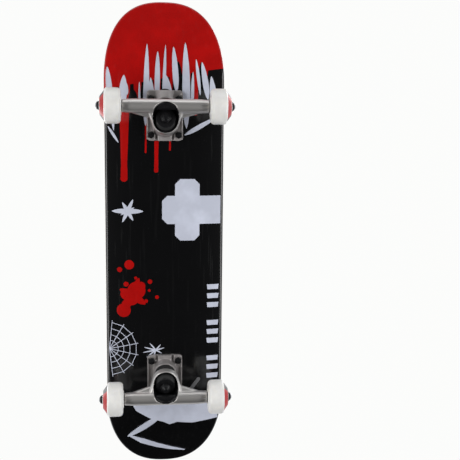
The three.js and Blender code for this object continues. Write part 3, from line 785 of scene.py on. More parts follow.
class SKATEBOARD_OT_grip_tape(bpy.types.Operator):
    """Lays the two sheets of grip tape, cut round the rim and the bolts"""

    bl_idname = "skateboard.grip_tape"
    bl_label = "Grip tape"

    def execute(self, context):
        deck = context.scene.skateboard_deck
        grip = context.scene.skateboard_grip
        press = Press(deck)
        low = deck.thickness + 0.02 * MM
        for name, way in (("nose", 1), ("tail", -1)):
            bm = flat_sheet(press, grip.inset, low, low + grip.thickness, (0.05 * MM, 0.3 * MM), 2)
            cut = cut_through(bm, (way * grip.strip / 2, 0, 0), (-way, 0, 0), clear_outer=True)
            rim = [item for item in cut["geom_cut"] if isinstance(item, bmesh.types.BMEdge)]
            bmesh.ops.edgeloop_fill(bm, edges=rim)
            bmesh.ops.recalc_face_normals(bm, faces=bm.faces)
            press.shape(bm)
            bm = combine(bm, bolt_cutters(grip.hole, 3.2 * MM), "DIFFERENCE")
            piece(f"grip_sheet_{name}", bm, ["grip_grit"], "board", [f"grip_{name}"])
        return {"FINISHED"}


# ---------------------------------------------------------------- printed pattern
class Printer:
    """Prints flat motifs on the underside, one thin coat over another."""

    first_coat, coat_step, body = 0.06, 0.012, 0.5 * MM  # the first two in millimetres

    def __init__(self, press):
        self.press = press
        self.coats = 0
        self.sheets = {}

    def coat(self, ink, outline):
        """Adds a motif from a flat closed mesh face in distance and side."""
        self.coats += 1
        level = -(self.first_coat + self.coat_step * self.coats) * MM
        bmesh.ops.translate(outline, verts=outline.verts, vec=(0, 0, level))
        raised = bmesh.ops.extrude_face_region(outline, geom=outline.faces[:], use_keep_orig=True)
        lifted = [item for item in raised["geom"] if isinstance(item, bmesh.types.BMVert)]
        bmesh.ops.translate(outline, verts=lifted, vec=(0, 0, self.body))
        bmesh.ops.recalc_face_normals(outline, faces=outline.faces)
        self.press.shape(outline)
        if ink in self.sheets:
            merge(self.sheets[ink], outline)
        else:
            self.sheets[ink] = outline

    def dot(self, ink, x, y, radius):
        bm = bmesh.new()
        bmesh.ops.create_circle(bm, cap_ends=True, segments=32, radius=radius,
                                matrix=Matrix.Translation((x, y, 0)))
        self.coat(ink, bm)

    def capsule(self, ink, start, end, start_width, end_width):
        """A stroke with round ends that tapers from one width to the other."""
        start, end = Vector((*start, 0)), Vector((*end, 0))
        way = (end - start).normalized()
        across = Vector((-way.y, way.x, 0))
        bm = bmesh.new()
        bmesh.ops.create_circle(bm, cap_ends=True, segments=28, radius=1.0)
        for vert in bm.verts:
            u, v = vert.co.x, vert.co.y
            middle, width = (end, end_width) if u > 0 else (start, start_width)
            vert.co = middle + way * u * width / 2 + across * v * width / 2
        self.coat(ink, bm)

    def blade(self, ink, start, end, width, belly=0.5):
        """A stroke with two pointed ends, widest at the belly's share of its length."""
        start, end = Vector((*start, 0)), Vector((*end, 0))
        way = end - start
        across = Vector((-way.y, way.x, 0)).normalized()
        bm = bmesh.new()
        bmesh.ops.create_circle(bm, cap_ends=True, segments=36, radius=1.0)
        for vert in bm.verts:
            u, v = vert.co.x, vert.co.y
            share = belly + u * ((1 - belly) if u > 0 else belly)
            vert.co = start + way * share + across * v * abs(v) ** 0.35 * width / 2
        self.coat(ink, bm)

    def polygon(self, ink, corners):
        bm = bmesh.new()
        verts = [bm.verts.new((x, y, 0)) for x, y in corners]
        bmesh.ops.contextual_create(bm, geom=verts)
        self.coat(ink, bm)


def print_drips(printer):
    """Red runs with beads at their tips from the nose, and black tongues between them."""
    for y, tip, width in (
        (-62, 106, 15), (-13, 118, 9), (-29, 146, 4), (8, 150, 4), (-80, 214, 10),
        (33, 222, 9), (47, 205, 8), (60, 232, 7), (-42, 212, 12), (18, 196, 6),
    ):
        printer.capsule("ink_red", (0.275, (y + 2) * MM), (tip * MM, y * MM), width * 1.25 * MM,
                        width * 0.55 * MM)
        printer.capsule("ink_red", ((tip + 16) * MM, (y + 0.3) * MM), (tip * MM, y * MM), width * 0.66 * MM,
                        width * 0.74 * MM)
    for y, tip, width in ((-47, 241, 15), (22, 284, 13), (57, 284, 12), (69, 256, 9), (-2, 240, 8)):
        printer.blade("ink_black", (0.205, y * MM), (tip * MM, (y - 1) * MM), width * MM, 0.45)


def print_thorns(printer):
    """Uneven pointed strokes that stand in a row across the front truck."""
    for y, foot, top, width, lean, belly in (
        (-77, 178, 276, 9, -9, 0.62), (-64, 214, 262, 12, 3, 0.4), (-56, 232, 254, 6, -4, 0.5),
        (-38, 206, 252, 3.5, 0, 0.4), (-29, 186, 312, 9, 3, 0.3), (-18, 168, 258, 11, -3, 0.5),
        (-12, 214, 300, 8, 2, 0.45), (-2, 226, 311, 5, 4, 0.3), (10, 216, 262, 10, -8, 0.4),
        (18, 236, 308, 9, -4, 0.36), (33, 182, 315, 12, -1, 0.38), (41, 202, 268, 5, 2, 0.5),
        (54, 232, 288, 5, -6, 0.5), (66, 226, 284, 9, -9, 0.4), (78, 196, 262, 11, -7, 0.45),
    ):
        printer.blade("ink_pale", (foot * MM, y * MM), (top * MM, (y + lean) * MM), width * MM, belly)
    printer.blade("ink_pale", (0.172, 0.030), (0.200, 0.080), 7 * MM, 0.4)
    printer.blade("ink_pale", (0.185, -0.086), (0.160, -0.070), 4 * MM, 0.5)


def print_cross(printer):
    """A plain even cross that runs out to the right-hand rail."""
    reach, corner = 48 * MM, 8 * MM
    x, y, rib = 57 * MM, 35 * MM, 19 * MM
    printer.polygon("ink_pale", [
        (x - reach + corner, y - rib), (x + reach - corner, y - rib), (x + reach, y - rib + corner),
        (x + reach, y + rib - corner), (x + reach - corner, y + rib), (x - reach + corner, y + rib),
        (x - reach, y + rib - corner), (x - reach, y - rib + corner),
    ])
    arm, inner, rail = 22 * MM, -4 * MM, 87 * MM
    printer.polygon("ink_pale", [
        (x - arm, inner + corner), (x - arm + corner, inner), (x + arm - corner, inner),
        (x + arm, inner + corner), (x + arm, rail), (x - arm, rail),
    ])


def print_spark(printer):
    """A star of uneven pointed strokes."""
    middle = Vector((0.055, -0.057))
    for degrees, reach, width in (
        (90, 24, 8), (150, 17, 6), (205, 19, 6), (270, 24, 8), (330, 16, 6), (25, 20, 6), (60, 12, 4),
        (240, 12, 4),
    ):
        way = Vector((math.cos(math.radians(degrees)), math.sin(math.radians(degrees))))
        printer.blade("ink_pale", middle - way * 4 * MM, middle + way * reach * MM, width * MM, 0.25)


def print_splash(printer):
    """Red dots thrown round a blot with three points."""
    spots = (
        (-29, -55, 7.5), (-37, -70, 4), (-70, -44, 14), (-82, -52, 12), (-76, -60, 9), (-63, -37, 7),
        (-102, -64, 11), (-92, -60, 7), (-56, -23, 3.6), (-81, -12, 3), (-87, -29, 3), (-60, -60, 4),
        (-50, -45, 2.5), (-70, -24, 2.2),
    )
    for x, y, radius in spots:
        printer.dot("ink_red", x * MM, y * MM, radius * MM)
    printer.capsule("ink_red", (-0.074, -0.05), (-0.1, -0.063), 16 * MM, 12 * MM)
    for x, y in ((-50, -40), (-92, -30), (-68, -70)):
        printer.blade("ink_red", (x * MM, y * MM), (-0.078, -0.05), 12 * MM, 0.7)


def print_rays(printer):
    """Fine rays from the left-hand rail, crossed by three rings of straight lines."""
    centre = Vector((-0.165, -0.087))
    turns = [math.radians(-84 + 24 * i) for i in range(8)]
    way = [Vector((math.sin(turn), math.cos(turn))) for turn in turns]
    for direction in way:
        printer.capsule("ink_pale", centre, centre + direction * 46 * MM, 1.1 * MM, 0.9 * MM)
    for radius in (14, 23, 33, 43):
        for one, other in zip(way, way[1:]):
            printer.capsule("ink_pale", centre + one * radius * MM, centre + other * radius * MM,
                            0.9 * MM, 0.9 * MM)
    for degrees, reach in (
        (40, 15), (75, 19), (100, 21), (128, 19), (160, 13), (240, 11), (285, 14), (320, 12),
    ):
        way = Vector((math.cos(math.radians(degrees)), -math.sin(math.radians(degrees))))
        middle = Vector((-0.167, -0.014))
        printer.blade("ink_pale", middle, middle + way * reach * MM, 2.2 * MM, 0.2)


def print_ticks(printer):
    """An even column of short bars by the right-hand rail."""
    for i in range(12):
        x = (-62 - i * 14.6) * MM
        if i % 4 == 3:
            continue
        printer.polygon("ink_pale", [(x, 0.0665), (x, 0.0855), (x - 8 * MM, 0.0845), (x - 8 * MM, 0.0675)])


def print_tail(printer):
    """A grey bar, a pale wedge and a bent stroke on the tail."""
    printer.capsule("ink_grey", (-0.240, 0.036), (-0.217, 0.054), 6 * MM, 6 * MM)
    printer.polygon("ink_pale", [
        (-0.256, -0.052), (-0.256, 0.087), (-0.289, 0.086), (-0.295, 0.046), (-0.292, 0.020),
        (-0.297, 0.008), (-0.291, -0.002), (-0.283, -0.024), (-0.268, -0.046),
    ])
    printer.blade("ink_pale", (-0.276, -0.004), (-0.324, -0.060), 11 * MM, 0.45)
    way = [(-0.321, -0.057), (-0.333, -0.036), (-0.344, -0.012), (-0.352, 0.012), (-0.357, 0.034)]
    widths = (3, 11, 9.5, 6.5, 1.5)
    for one, other, wide, narrow in zip(way, way[1:], widths, widths[1:]):
        printer.capsule("ink_pale", one, other, wide * MM, narrow * MM)


class SKATEBOARD_OT_pattern(bpy.types.Operator):
    """Prints the plain pattern of drips, strokes, dots and rays on the underside"""

    bl_idname = "skateboard.pattern"
    bl_label = "Printed pattern"

    def execute(self, context):
        printer = Printer(Press(context.scene.skateboard_deck))
        for motif in (print_drips, print_thorns, print_cross, print_spark, print_splash, print_rays,
                      print_ticks, print_tail):
            motif(printer)
        for ink, bm in printer.sheets.items():
            piece(f"print_{ink}", bm, [ink], "board")
        return {"FINISHED"}


class SKATEBOARD_OT_strip_lines(bpy.types.Operator):
    """Burns two fine lines into the bare strip, either side of its middle"""

    bl_idname = "skateboard.strip_lines"
    bl_label = "Strip lines"

    def execute(self, context):
        deck = context.scene.skateboard_deck
        press = Press(deck)
        bm = bmesh.new()
        half_line, inner, outer = 0.35 * MM, 40 * MM, 86 * MM
        bottom, top = deck.thickness - 0.3 * MM, deck.thickness + 0.05 * MM
        for right, left in ((inner, outer), (-outer, -inner)):
            merge(bm, block((-half_line, right, bottom), (half_line, left, top)))
        press.shape(bm)
        piece("strip_lines", bm, ["burnt_line"], "board")
        return {"FINISHED"}


# ---------------------------------------------------------------- fasteners
def threaded(radius, start, end, pitch=0.7 * MM, depth=0.28 * MM):
    """The outline of a threaded stretch, from start to end, as (radius, height) points."""
    count = max(1, int(abs(end - start) / pitch))
    step = (end - start) / count
    points = []
    for i in range(count):
        points.append((radius - depth, start + step * i))
        points.append((radius, start + step * (i + 0.5)))
    return points + [(radius - depth, end)]


def lock_nut(flats, height, bore):
    """A hexagon lock nut along Y with chamfered faces and a domed collar for its nylon ring."""
    corner = flats / 2 / math.cos(math.pi / 6)
    body = height * 0.7
    cone = spin_profile([
        (0, 0), (corner * 0.9, 0), (corner * 1.005, corner * 0.09), (corner * 1.005, body - corner * 0.1),
        (corner * 0.88, body), (corner * 0.80, body), (corner * 0.76, body + height * 0.08),
        (corner * 0.74, height * 0.93), (corner * 0.66, height), (0, height),
    ], 48)
    nut = combine(prism(6, corner, -height, 2 * height, math.pi / 6), [cone], "INTERSECT")
    nut = combine(nut, [prism(32, bore, -height, 2 * height)], "DIFFERENCE")
    return soften(nut, 0.18 * MM, 1, math.radians(50))


def nylon_ring(flats, height, bore):
    outer = flats / 2 / math.cos(math.pi / 6) * 0.64
    return spin_profile([(bore, height * 0.78), (outer, height * 0.78), (outer, height * 0.985),
                         (bore + 0.2 * MM, height * 0.985), (bore, height * 0.94)], 40)


class SKATEBOARD_OT_mounting_hardware(bpy.types.Operator):
    """Models the eight countersunk bolts and their lock nuts"""

    bl_idname = "skateboard.mounting_hardware"
    bl_label = "Mounting hardware"

    def execute(self, context):
        shank, head, depth = 2.4 * MM, 4.75 * MM, 2.8 * MM
        flats, threads = 9.5 * MM, 13 * MM
        for name, place in bolt_places().items():
            total = place.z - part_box(name)[0].z
            profile = [(0, -total), (shank - 0.5 * MM, -total)]
            profile += threaded(shank, -total + 0.4 * MM, -total + threads)
            profile += [(shank, -total + threads + 0.4 * MM), (shank, -depth), (head, -depth + head - shank),
                        (head, -0.25 * MM), (head - 0.25 * MM, 0), (0, 0)]
            socket = prism(6, 1.85 * MM, -2.1 * MM, 1 * MM)
            bolt = combine(spin_profile(profile, 36), [socket], "DIFFERENCE")
            piece(name.replace("mount", "deck"), along(bolt, (0, 0, 1), place), ["black_oxide"], "board",
                  [name])
            nut_name = name.replace("bolt", "nut")
            low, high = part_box(nut_name)
            top = Vector((place.x, place.y, high.z))
            height = high.z - low.z
            nut = lock_nut(flats, height, shank + 0.1 * MM)
            sharpen(nut, HARD_EDGE)  # before the turn, for edges that lie close to the limit
            piece(nut_name.replace("mount", "deck"), along(nut, (0, 0, -1), top), ["black_oxide"], "board",
                  [nut_name], hard=None)
            collar = nylon_ring(flats, height, shank + 0.05 * MM)
            piece(nut_name.replace("mount_nut", "deck_nut_ring"), along(collar, (0, 0, -1), top),
                  ["nylon_ring"], "board")
        return {"FINISHED"}


# ---------------------------------------------------------------- trucks
class Truck:
    """A truck's own frame: its places, its axes and its placing on the board."""

    def __init__(self, end, sizes):
        self.end = end
        self.sizes = sizes
        bolts = [place for name, place in bolt_places().items() if f"_{end}_" in name]
        middle = sum(bolts, Vector()) / len(bolts)
        self.matrix = Matrix.Translation((middle.x, 0, DECK_BOX[0].z))
        if ENDS[end] < 0:
            self.matrix = self.matrix @ Matrix.Rotation(math.pi, 4, "Z")
        inverse = self.matrix.inverted()
        joint = JOINTS[f"steer_{end}"]
        self.ring = inverse @ Vector(joint["pos_m"])
        self.pivot_axis = (inverse.to_3x3() @ Vector(joint["axis"])).normalized()
        self.kingpin = Vector((math.sin(sizes.lean), 0, -math.cos(sizes.lean)))
        low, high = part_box(f"axle_{end}")
        self.axle = inverse @ ((low + high) / 2)
        self.half_axle = (high.y - low.y) / 2
        self.body = f"truck_{end}"

    def on_kingpin(self, bm):
        return along(bm, self.kingpin, self.ring)

    def on_pivot(self, bm):
        return along(bm, self.pivot_axis, self.ring)

    def on_axle(self, bm, y=0.0):
        return along(bm, (0, 1, 0), self.axle + Vector((0, y, 0)))

    def place(self, bm):
        bmesh.ops.transform(bm, matrix=self.matrix, verts=bm.verts)
        return bm

    def side(self, way):
        """Which side of the board a way along the truck's Y is, as a word."""
        return "left" if way * ENDS[self.end] > 0 else "right"


def hanger_shape(truck):
    """The hanger: bar, ring, webs and pivot stem, with its bushing seats and cleared recess, whose faces are
    painted black as painted shade.
    """
    s = truck.sizes
    half = s.hanger_width / 2
    taper = 15 * MM
    boss, boss_end = 7.2 * MM, half + 2.8 * MM
    bar = truck.on_axle(spin_profile([
        (0, -boss_end), (boss, -boss_end), (boss, -half), (s.bar_end_radius, -half),
        (s.bar_radius, -half + taper), (s.bar_radius, half - taper), (s.bar_end_radius, half),
        (boss, half), (boss, boss_end), (0, boss_end),
    ], 72))
    across = Vector((0, 1, 0))
    ring_half = truck.kingpin * s.ring_thickness / 2
    web_foot, web_radius = across * 26 * MM, 7.5 * MM
    web = hull(
        (truck.ring - ring_half, truck.kingpin, s.ring_radius),
        (truck.ring + ring_half, truck.kingpin, s.ring_radius),
        (truck.axle - web_foot, across, web_radius), (truck.axle + web_foot, across, web_radius),
    )
    ridge = truck.axle + Vector((-12.5 * MM, 0, 5.5 * MM))
    foot, ridge_foot, ridge_radius = across * 60 * MM, across * 25 * MM, 5 * MM
    fairing = hull(
        (truck.axle - foot, across, web_radius), (truck.axle + foot, across, web_radius),
        (ridge - ridge_foot, across, ridge_radius), (ridge + ridge_foot, across, ridge_radius),
    )
    reach, tip = s.pivot_reach, 6.5 * MM
    dome = arc(tip, reach, range(0, 90, 15))
    stem = truck.on_pivot(spin_profile(
        [(0, 10 * MM), (9 * MM, 10 * MM), (9 * MM, reach - 23 * MM), (tip, reach - 11 * MM)]
        + dome + [(0, reach + tip)], 48))
    keel = hull(
        (truck.axle + Vector((-2 * MM, 0, 8 * MM)), across, 3.2 * MM),
        (truck.ring + truck.pivot_axis * 24 * MM, truck.pivot_axis, 5.5 * MM),
        (truck.ring + truck.pivot_axis * 8 * MM, truck.pivot_axis, 8 * MM),
    )
    solid = combine(bar, [web, fairing, stem, keel], "UNION")
    far = 60 * MM
    recess_radius = s.washer_radius + 4.3 * MM
    recess = truck.on_kingpin(prism(64, recess_radius, s.seat, far))
    sleeve = truck.on_axle(prism(40, 5.72 * MM, -30 * MM, 30 * MM))
    recess = combine(recess, [sleeve], "DIFFERENCE")
    seat = truck.on_kingpin(prism(64, 18.2 * MM, -far, -s.seat))
    bore = truck.on_kingpin(prism(48, 8 * MM, -far, far))
    cuts = [recess, seat, bore]
    for middle in (52 * MM, -52 * MM):
        low = (truck.axle.x - 40 * MM, middle - 3 * MM, truck.axle.z + 20 * MM)
        cuts.append(block(low, (truck.axle.x + 40 * MM, middle + 3 * MM, truck.axle.z + 50 * MM)))
    shape = cast(combine(solid, cuts, "DIFFERENCE"), s.cast_grain, 5)
    # Faces inside the kingpin recess, the axle sleeve in it included, get the second finish: black painted
    # shade over the cast metal, where the recess lies in shadow.
    for face in shape.faces:
        offset = face.calc_center_median() - truck.ring
        height = offset.dot(truck.kingpin)
        within = (offset - truck.kingpin * height).length < recess_radius + 0.4 * MM
        if within and height > s.seat - 1.5 * MM:
            face.material_index = 1
    return shape


class SKATEBOARD_OT_hangers(bpy.types.Operator):
    """Casts the two hangers"""

    bl_idname = "skateboard.hangers"
    bl_label = "Hangers"

    def execute(self, context):
        for end in ENDS:
            truck = Truck(end, context.scene.skateboard_truck)
            shape = truck.place(hanger_shape(truck))
            # The second finish is the black painted shade inside the kingpin recess.
            piece(f"hanger_casting_{end}", shape, ["cast_aluminium", "black_oxide"], truck.body,
                  [f"hanger_{end}"], hard=None)
        return {"FINISHED"}


def baseplate_shape(truck):
    """The baseplate: flange, kingpin boss, ribs and pivot housing."""
    s = truck.sizes
    half, thick = s.plate_width / 2, s.plate_thickness
    plate = block((-s.plate_inner, -half, -thick), (s.plate_outer, half, -0.15 * MM))
    corners = [e for e in plate.edges if abs(e.verts[0].co.z - e.verts[1].co.z) > 1 * MM]
    round_edges(plate, corners, 6 * MM, 8)
    seat_at = s.seat + s.board_bushing + 1.5 * MM + 0.45 * MM
    seat_centre = truck.ring - truck.kingpin * seat_at
    down = Vector((0, 0, 1))
    boss = hull(
        (seat_centre, truck.kingpin, 16.3 * MM),
        (Vector((seat_centre.x - 2 * MM, 0, -2 * MM)), down, 17.5 * MM),
        (Vector((-s.plate_inner + 7 * MM, 0, -1 * MM)), Vector((1, 0, 0)), 1 * MM),
    )
    block_low = (-s.plate_inner, -10.5 * MM, -8.5 * MM)
    nose_block = block(block_low, (seat_centre.x, 10.5 * MM, -0.5 * MM))
    reach = s.pivot_reach
    housing = truck.on_pivot(prism(64, 12.3 * MM, reach - 9 * MM, reach + 16 * MM))
    spine = block((-4 * MM, -8 * MM, -11 * MM), (s.plate_outer - 12 * MM, 8 * MM, -1 * MM))
    ribs = [block((-s.plate_inner + 2 * MM, way * half - 1.4 * MM, -thick - 1.3 * MM),
                  (s.plate_outer - 5 * MM, way * half + 1.4 * MM, -1 * MM)) for way in (0.94, -0.94)]
    solid = combine(plate, [boss, nose_block, housing, spine] + ribs, "UNION")
    room = block((-s.plate_inner, -0.06, -0.06), (s.plate_outer, 0.06, -0.15 * MM))
    solid = combine(solid, [room], "INTERSECT")
    cuts = [
        truck.on_pivot(prism(48, 9.35 * MM, reach - 29 * MM, reach + 9.4 * MM)),
        truck.on_kingpin(prism(40, 4.95 * MM, -0.08, 0)),
        truck.on_kingpin(prism(64, 16 * MM, -seat_at + 0.01 * MM, seat_at)),
        truck.on_kingpin(prism(40, 9.0 * MM, -0.08, -seat_at - 12 * MM)),
    ]
    for name, place in bolt_places().items():
        if f"_{truck.end}_" not in name:
            continue
        local = truck.matrix.inverted() @ place
        local.z = 0
        cuts.append(along(prism(32, 2.75 * MM, -20 * MM, 5 * MM), (0, 0, 1), local))
        cuts.append(along(prism(40, 6.6 * MM, -60 * MM, -thick), (0, 0, 1), local))
    for way in (1, -1):
        pocket = block((-s.plate_inner + 17 * MM, way * 20.5 * MM - 3.2 * MM, -thick - 4 * MM),
                       (s.plate_outer - 22 * MM, way * 20.5 * MM + 3.2 * MM, -thick + 1.2 * MM))
        notch = block((-s.plate_inner - 1 * MM, way * 12.6 * MM - 1.7 * MM, -thick - 4 * MM),
                      (-s.plate_inner + 9 * MM, way * 12.6 * MM + 1.7 * MM, -1.5 * MM))
        cuts += [pocket, notch]
    return cast(combine(solid, cuts, "DIFFERENCE"), s.cast_grain, 4)


class SKATEBOARD_OT_baseplates(bpy.types.Operator):
    """Casts the two baseplates and fits their pivot cups"""

    bl_idname = "skateboard.baseplates"
    bl_label = "Baseplates"

    def execute(self, context):
        for end in ENDS:
            truck = Truck(end, context.scene.skateboard_truck)
            reach = truck.sizes.pivot_reach
            shape = truck.place(baseplate_shape(truck))
            piece(f"baseplate_casting_{end}", shape, ["plate_aluminium"], "board",
                  [f"baseplate_{end}"], hard=None)
            inner, outer, lip = 6.75 * MM, 9.15 * MM, 10.2 * MM
            mouth, floor = reach - 9 * MM, reach + 9.2 * MM
            profile = [(0, floor), (0, reach + inner)] + arc(inner, reach, range(75, -1, -15))
            profile += [(inner, mouth + 0.8 * MM), (inner + 0.5 * MM, mouth - 0.4 * MM),
                        (lip, mouth - 0.4 * MM), (lip, mouth + 0.2 * MM), (outer, mouth + 0.6 * MM),
                        (outer, floor - 1 * MM), (outer - 1 * MM, floor), (0, floor)]
            room = block((-1, -1, -0.3 * MM), (1, 1, 1))
            cup = combine(truck.on_pivot(spin_profile(profile, 56)), [room], "DIFFERENCE")
            piece(f"pivot_bush_{end}", truck.place(cup), ["bushing_rubber"], "board",
                  [f"pivot_cup_{end}"])
        return {"FINISHED"}


def bushing_profile(low, high, start, end, bore):
    """A bushing's outline with rounded rims and a slight barrel between its two end radii."""
    height = end - start
    points = [(bore, start), (low - 0.9 * MM, start), (low - 0.25 * MM, start + 0.3 * MM)]
    for i in range(9):
        share = i / 8
        radius = low + (high - low) * share + 1.1 * MM * math.sin(math.pi * share)
        points.append((radius, start + 1 * MM + (height - 2 * MM) * share))
    return points + [(high - 0.25 * MM, end - 0.3 * MM), (high - 0.9 * MM, end), (bore, end)]


def cup_washer(radius, bore, rim, thick=1.5 * MM):
    """A pressed cup washer along Y, with its rim turned up."""
    return spin_profile([
        (bore, 0), (radius - 1.6 * MM, 0), (radius - 0.4 * MM, 0.35 * MM), (radius, 1.2 * MM),
        (radius, thick + rim - 0.3 * MM), (radius - 0.3 * MM, thick + rim), (radius - 0.8 * MM, thick + rim),
        (radius - 1.2 * MM, thick + 0.4 * MM), (radius - 2.2 * MM, thick), (bore, thick),
    ], 64)


class SKATEBOARD_OT_kingpins(bpy.types.Operator):
    """Models each truck's kingpin, cup washers, kingpin nut and the two bushings between them"""

    bl_idname = "skateboard.kingpins"
    bl_label = "Kingpins and bushings"

    def execute(self, context):
        for end in ENDS:
            truck = Truck(end, context.scene.skateboard_truck)
            s = truck.sizes
            gap, washer, pin = 0.15 * MM, 1.5 * MM, 4.76 * MM
            nut_flats, nut_height = 14.3 * MM, 8.2 * MM
            board_top = s.seat + gap + s.board_bushing
            road_top = s.seat + gap + s.road_bushing
            nut_start = road_top + 2 * gap + washer
            pin_end = nut_start + nut_height + 1.8 * MM
            head_far = board_top + gap + washer + gap + 17.2 * MM
            profile = [(0, -head_far + 2 * MM), (pin, -head_far + 2 * MM), (pin, road_top - 3 * MM)]
            profile += threaded(pin, road_top - 2.6 * MM, pin_end - 0.8 * MM, 1.0 * MM, 0.4 * MM)
            profile += [(pin - 1 * MM, pin_end), (0, pin_end)]
            head = prism(6, 7.15 * MM / math.cos(math.pi / 6), -head_far, -head_far + 6 * MM)
            bolt = combine(spin_profile(profile, 48), [soften(head, 0.4 * MM)], "UNION")
            for name, bm, way, start, material, replaced in (
                ("kingpin_bolt", bolt, 1, 0, "black_oxide", ["kingpin"]),
                ("cup_washer_board", cup_washer(15.5 * MM, pin + 0.3 * MM, 1.0 * MM), 1,
                 -board_top - gap - washer, "black_oxide", ["washer_board"]),
                ("cup_washer_road", cup_washer(s.washer_radius, pin + 0.3 * MM, 1.1 * MM), -1,
                 road_top + gap + washer, "black_oxide", ["washer_road"]),
                ("kingpin_lock_nut", lock_nut(nut_flats, nut_height, pin + 0.1 * MM), 1,
                 nut_start, "black_oxide", ["kingpin_nut"]),
                ("kingpin_nut_ring", nylon_ring(nut_flats, nut_height, pin + 0.05 * MM), 1,
                 nut_start, "nylon_ring", []),
            ):
                along(bm, (0, way, 0), (0, start, 0))
                piece(f"{name}_{end}", truck.place(truck.on_kingpin(bm)), [material], "board",
                      [f"{each}_{end}" for each in replaced])
            self.bushing(truck, "board", s.bushing_radius, s.bushing_radius - 0.4 * MM,
                         -s.seat - gap, -board_top)
            self.bushing(truck, "road", s.bushing_radius - 0.5 * MM, 12.2 * MM, s.seat + gap, road_top)
        return {"FINISHED"}

    @staticmethod
    def bushing(truck, side, low, high, start, end):
        """A bushing between the swinging ring and the end that the washer holds."""
        way = 1 if end > start else -1
        profile = [(radius, way * height) for radius, height in
                   bushing_profile(low, high, abs(start), abs(end), 5.1 * MM)]
        bm = truck.on_kingpin(spin_profile(profile, 64))
        at_ring = truck.matrix @ (truck.ring + truck.kingpin * start)
        at_washer = truck.matrix @ (truck.ring + truck.kingpin * end)
        piece(f"{side}_side_bushing_{truck.end}", truck.place(bm), ["bushing_rubber"], ("board", truck.body),
              [f"bushing_{side}_{truck.end}"], blend=(at_washer, at_ring),
              hard=math.radians(60))


# ---------------------------------------------------------------- axles, wheels and bearings
class SKATEBOARD_OT_axles(bpy.types.Operator):
    """Turns the axles with their threaded ends, and fits the speed washers and axle nuts"""

    bl_idname = "skateboard.axles"
    bl_label = "Axles and nuts"

    def execute(self, context):
        radius = context.scene.skateboard_wheel.axle_radius
        for end in ENDS:
            truck = Truck(end, context.scene.skateboard_truck)
            tip = truck.half_axle
            thread = threaded(radius, tip - 11 * MM, tip - 0.7 * MM, 0.95 * MM, 0.35 * MM)
            profile = [(0, -tip), (radius - 0.9 * MM, -tip)]
            profile += [(r, -y) for r, y in reversed(thread)] + thread
            profile += [(radius - 0.9 * MM, tip), (0, tip)]
            axle = truck.on_axle(spin_profile(profile, 40))
            piece(f"axle_rod_{end}", truck.place(axle), ["bright_steel"], truck.body,
                  [f"axle_{end}"])
            for way in (1, -1):
                self.hardware(truck, way, f"{end}_{truck.side(way)}", radius)
        return {"FINISHED"}

    @staticmethod
    def hardware(truck, way, place, radius):
        """The speed washers on either side of a wheel, and the lock nut with its nylon ring."""
        low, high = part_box(f"speed_washer_{place}")
        outer_start = min(abs(low.y), abs(high.y))
        thick = high.y - low.y
        bore = radius + 0.1 * MM
        bearings, spacer, clearance = 2 * 7 * MM, 10 * MM, 1.3 * MM
        inner_start = outer_start - bearings - spacer - clearance
        rim, face = 6.4 * MM, 6.1 * MM
        for name, start, replaced in (("outer", outer_start, [f"speed_washer_{place}"]),
                                      ("inner", inner_start, [])):
            washer = spin_profile([(bore, 0), (face, 0), (rim, thick * 0.3), (rim, thick * 0.7),
                                   (face, thick), (bore, thick)], 40)
            placed = truck.place(truck.on_axle(washer, way * start - (thick if way < 0 else 0)))
            piece(f"washer_{name}_{place}", placed, ["bright_steel"], truck.body, replaced)
        low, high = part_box(f"axle_nut_{place}")
        nut_start = min(abs(low.y), abs(high.y))
        flats, height = 12.7 * MM, high.y - low.y
        for name, shape, material, replaced in (
            ("axle_lock_nut", lock_nut(flats, height, bore), "black_oxide", [f"axle_nut_{place}"]),
            ("axle_nut_ring", nylon_ring(flats, height, bore), "nylon_ring", []),
        ):
            along(shape, (0, way, 0), truck.axle + Vector((0, way * nut_start, 0)))
            piece(f"{name}_{place}", truck.place(shape), [material], truck.body, replaced)


def shoulder(start, knee, end, steps=12):
    """Points along a quadratic curve, from the tread's edge to the side."""
    points = []
    for i in range(steps + 1):
        t = i / steps
        point = Vector(start) * (1 - t) ** 2 + Vector(knee) * 2 * t * (1 - t) + Vector(end) * t ** 2
        points.append(tuple(point))
    return points


def wheel_shape(s):
    """A cast wheel about Y, outer side up: tread, shoulders, coned outer side and bearing seats."""
    half = s.width / 2
    bore, ridge, core = s.bearing_radius + 0.05 * MM, 4.85 * MM, 9.5 * MM
    cone = half - s.cone_depth
    outer = shoulder((s.radius, s.tread_outer), (s.radius - 0.2 * MM, cone - 0.4 * MM), (s.cone_radius, cone))
    outer += [(s.cone_radius - 0.35 * MM, cone + 0.05 * MM), (s.cone_radius - 0.8 * MM, cone + 0.4 * MM),
              (s.hub + 0.8 * MM, half - 0.5 * MM), (s.hub, half - 0.05 * MM), (s.hub - 0.4 * MM, half)]
    seat = [(bore + 0.4 * MM, half), (bore, half - 0.4 * MM), (bore, ridge), (core, ridge)]
    inner = shoulder((s.radius, -s.tread_inner), (s.radius - 0.3 * MM, 0.7 * MM - half),
                     (18.5 * MM, 0.95 * MM - half))
    inner += [(16 * MM, 1.0 * MM - half), (s.hub + 0.8 * MM, 0.9 * MM - half), (s.hub, -half)]
    mirrored = [(radius, -height) for radius, height in seat]
    return list(reversed(outer)) + inner + mirrored + list(reversed(seat))


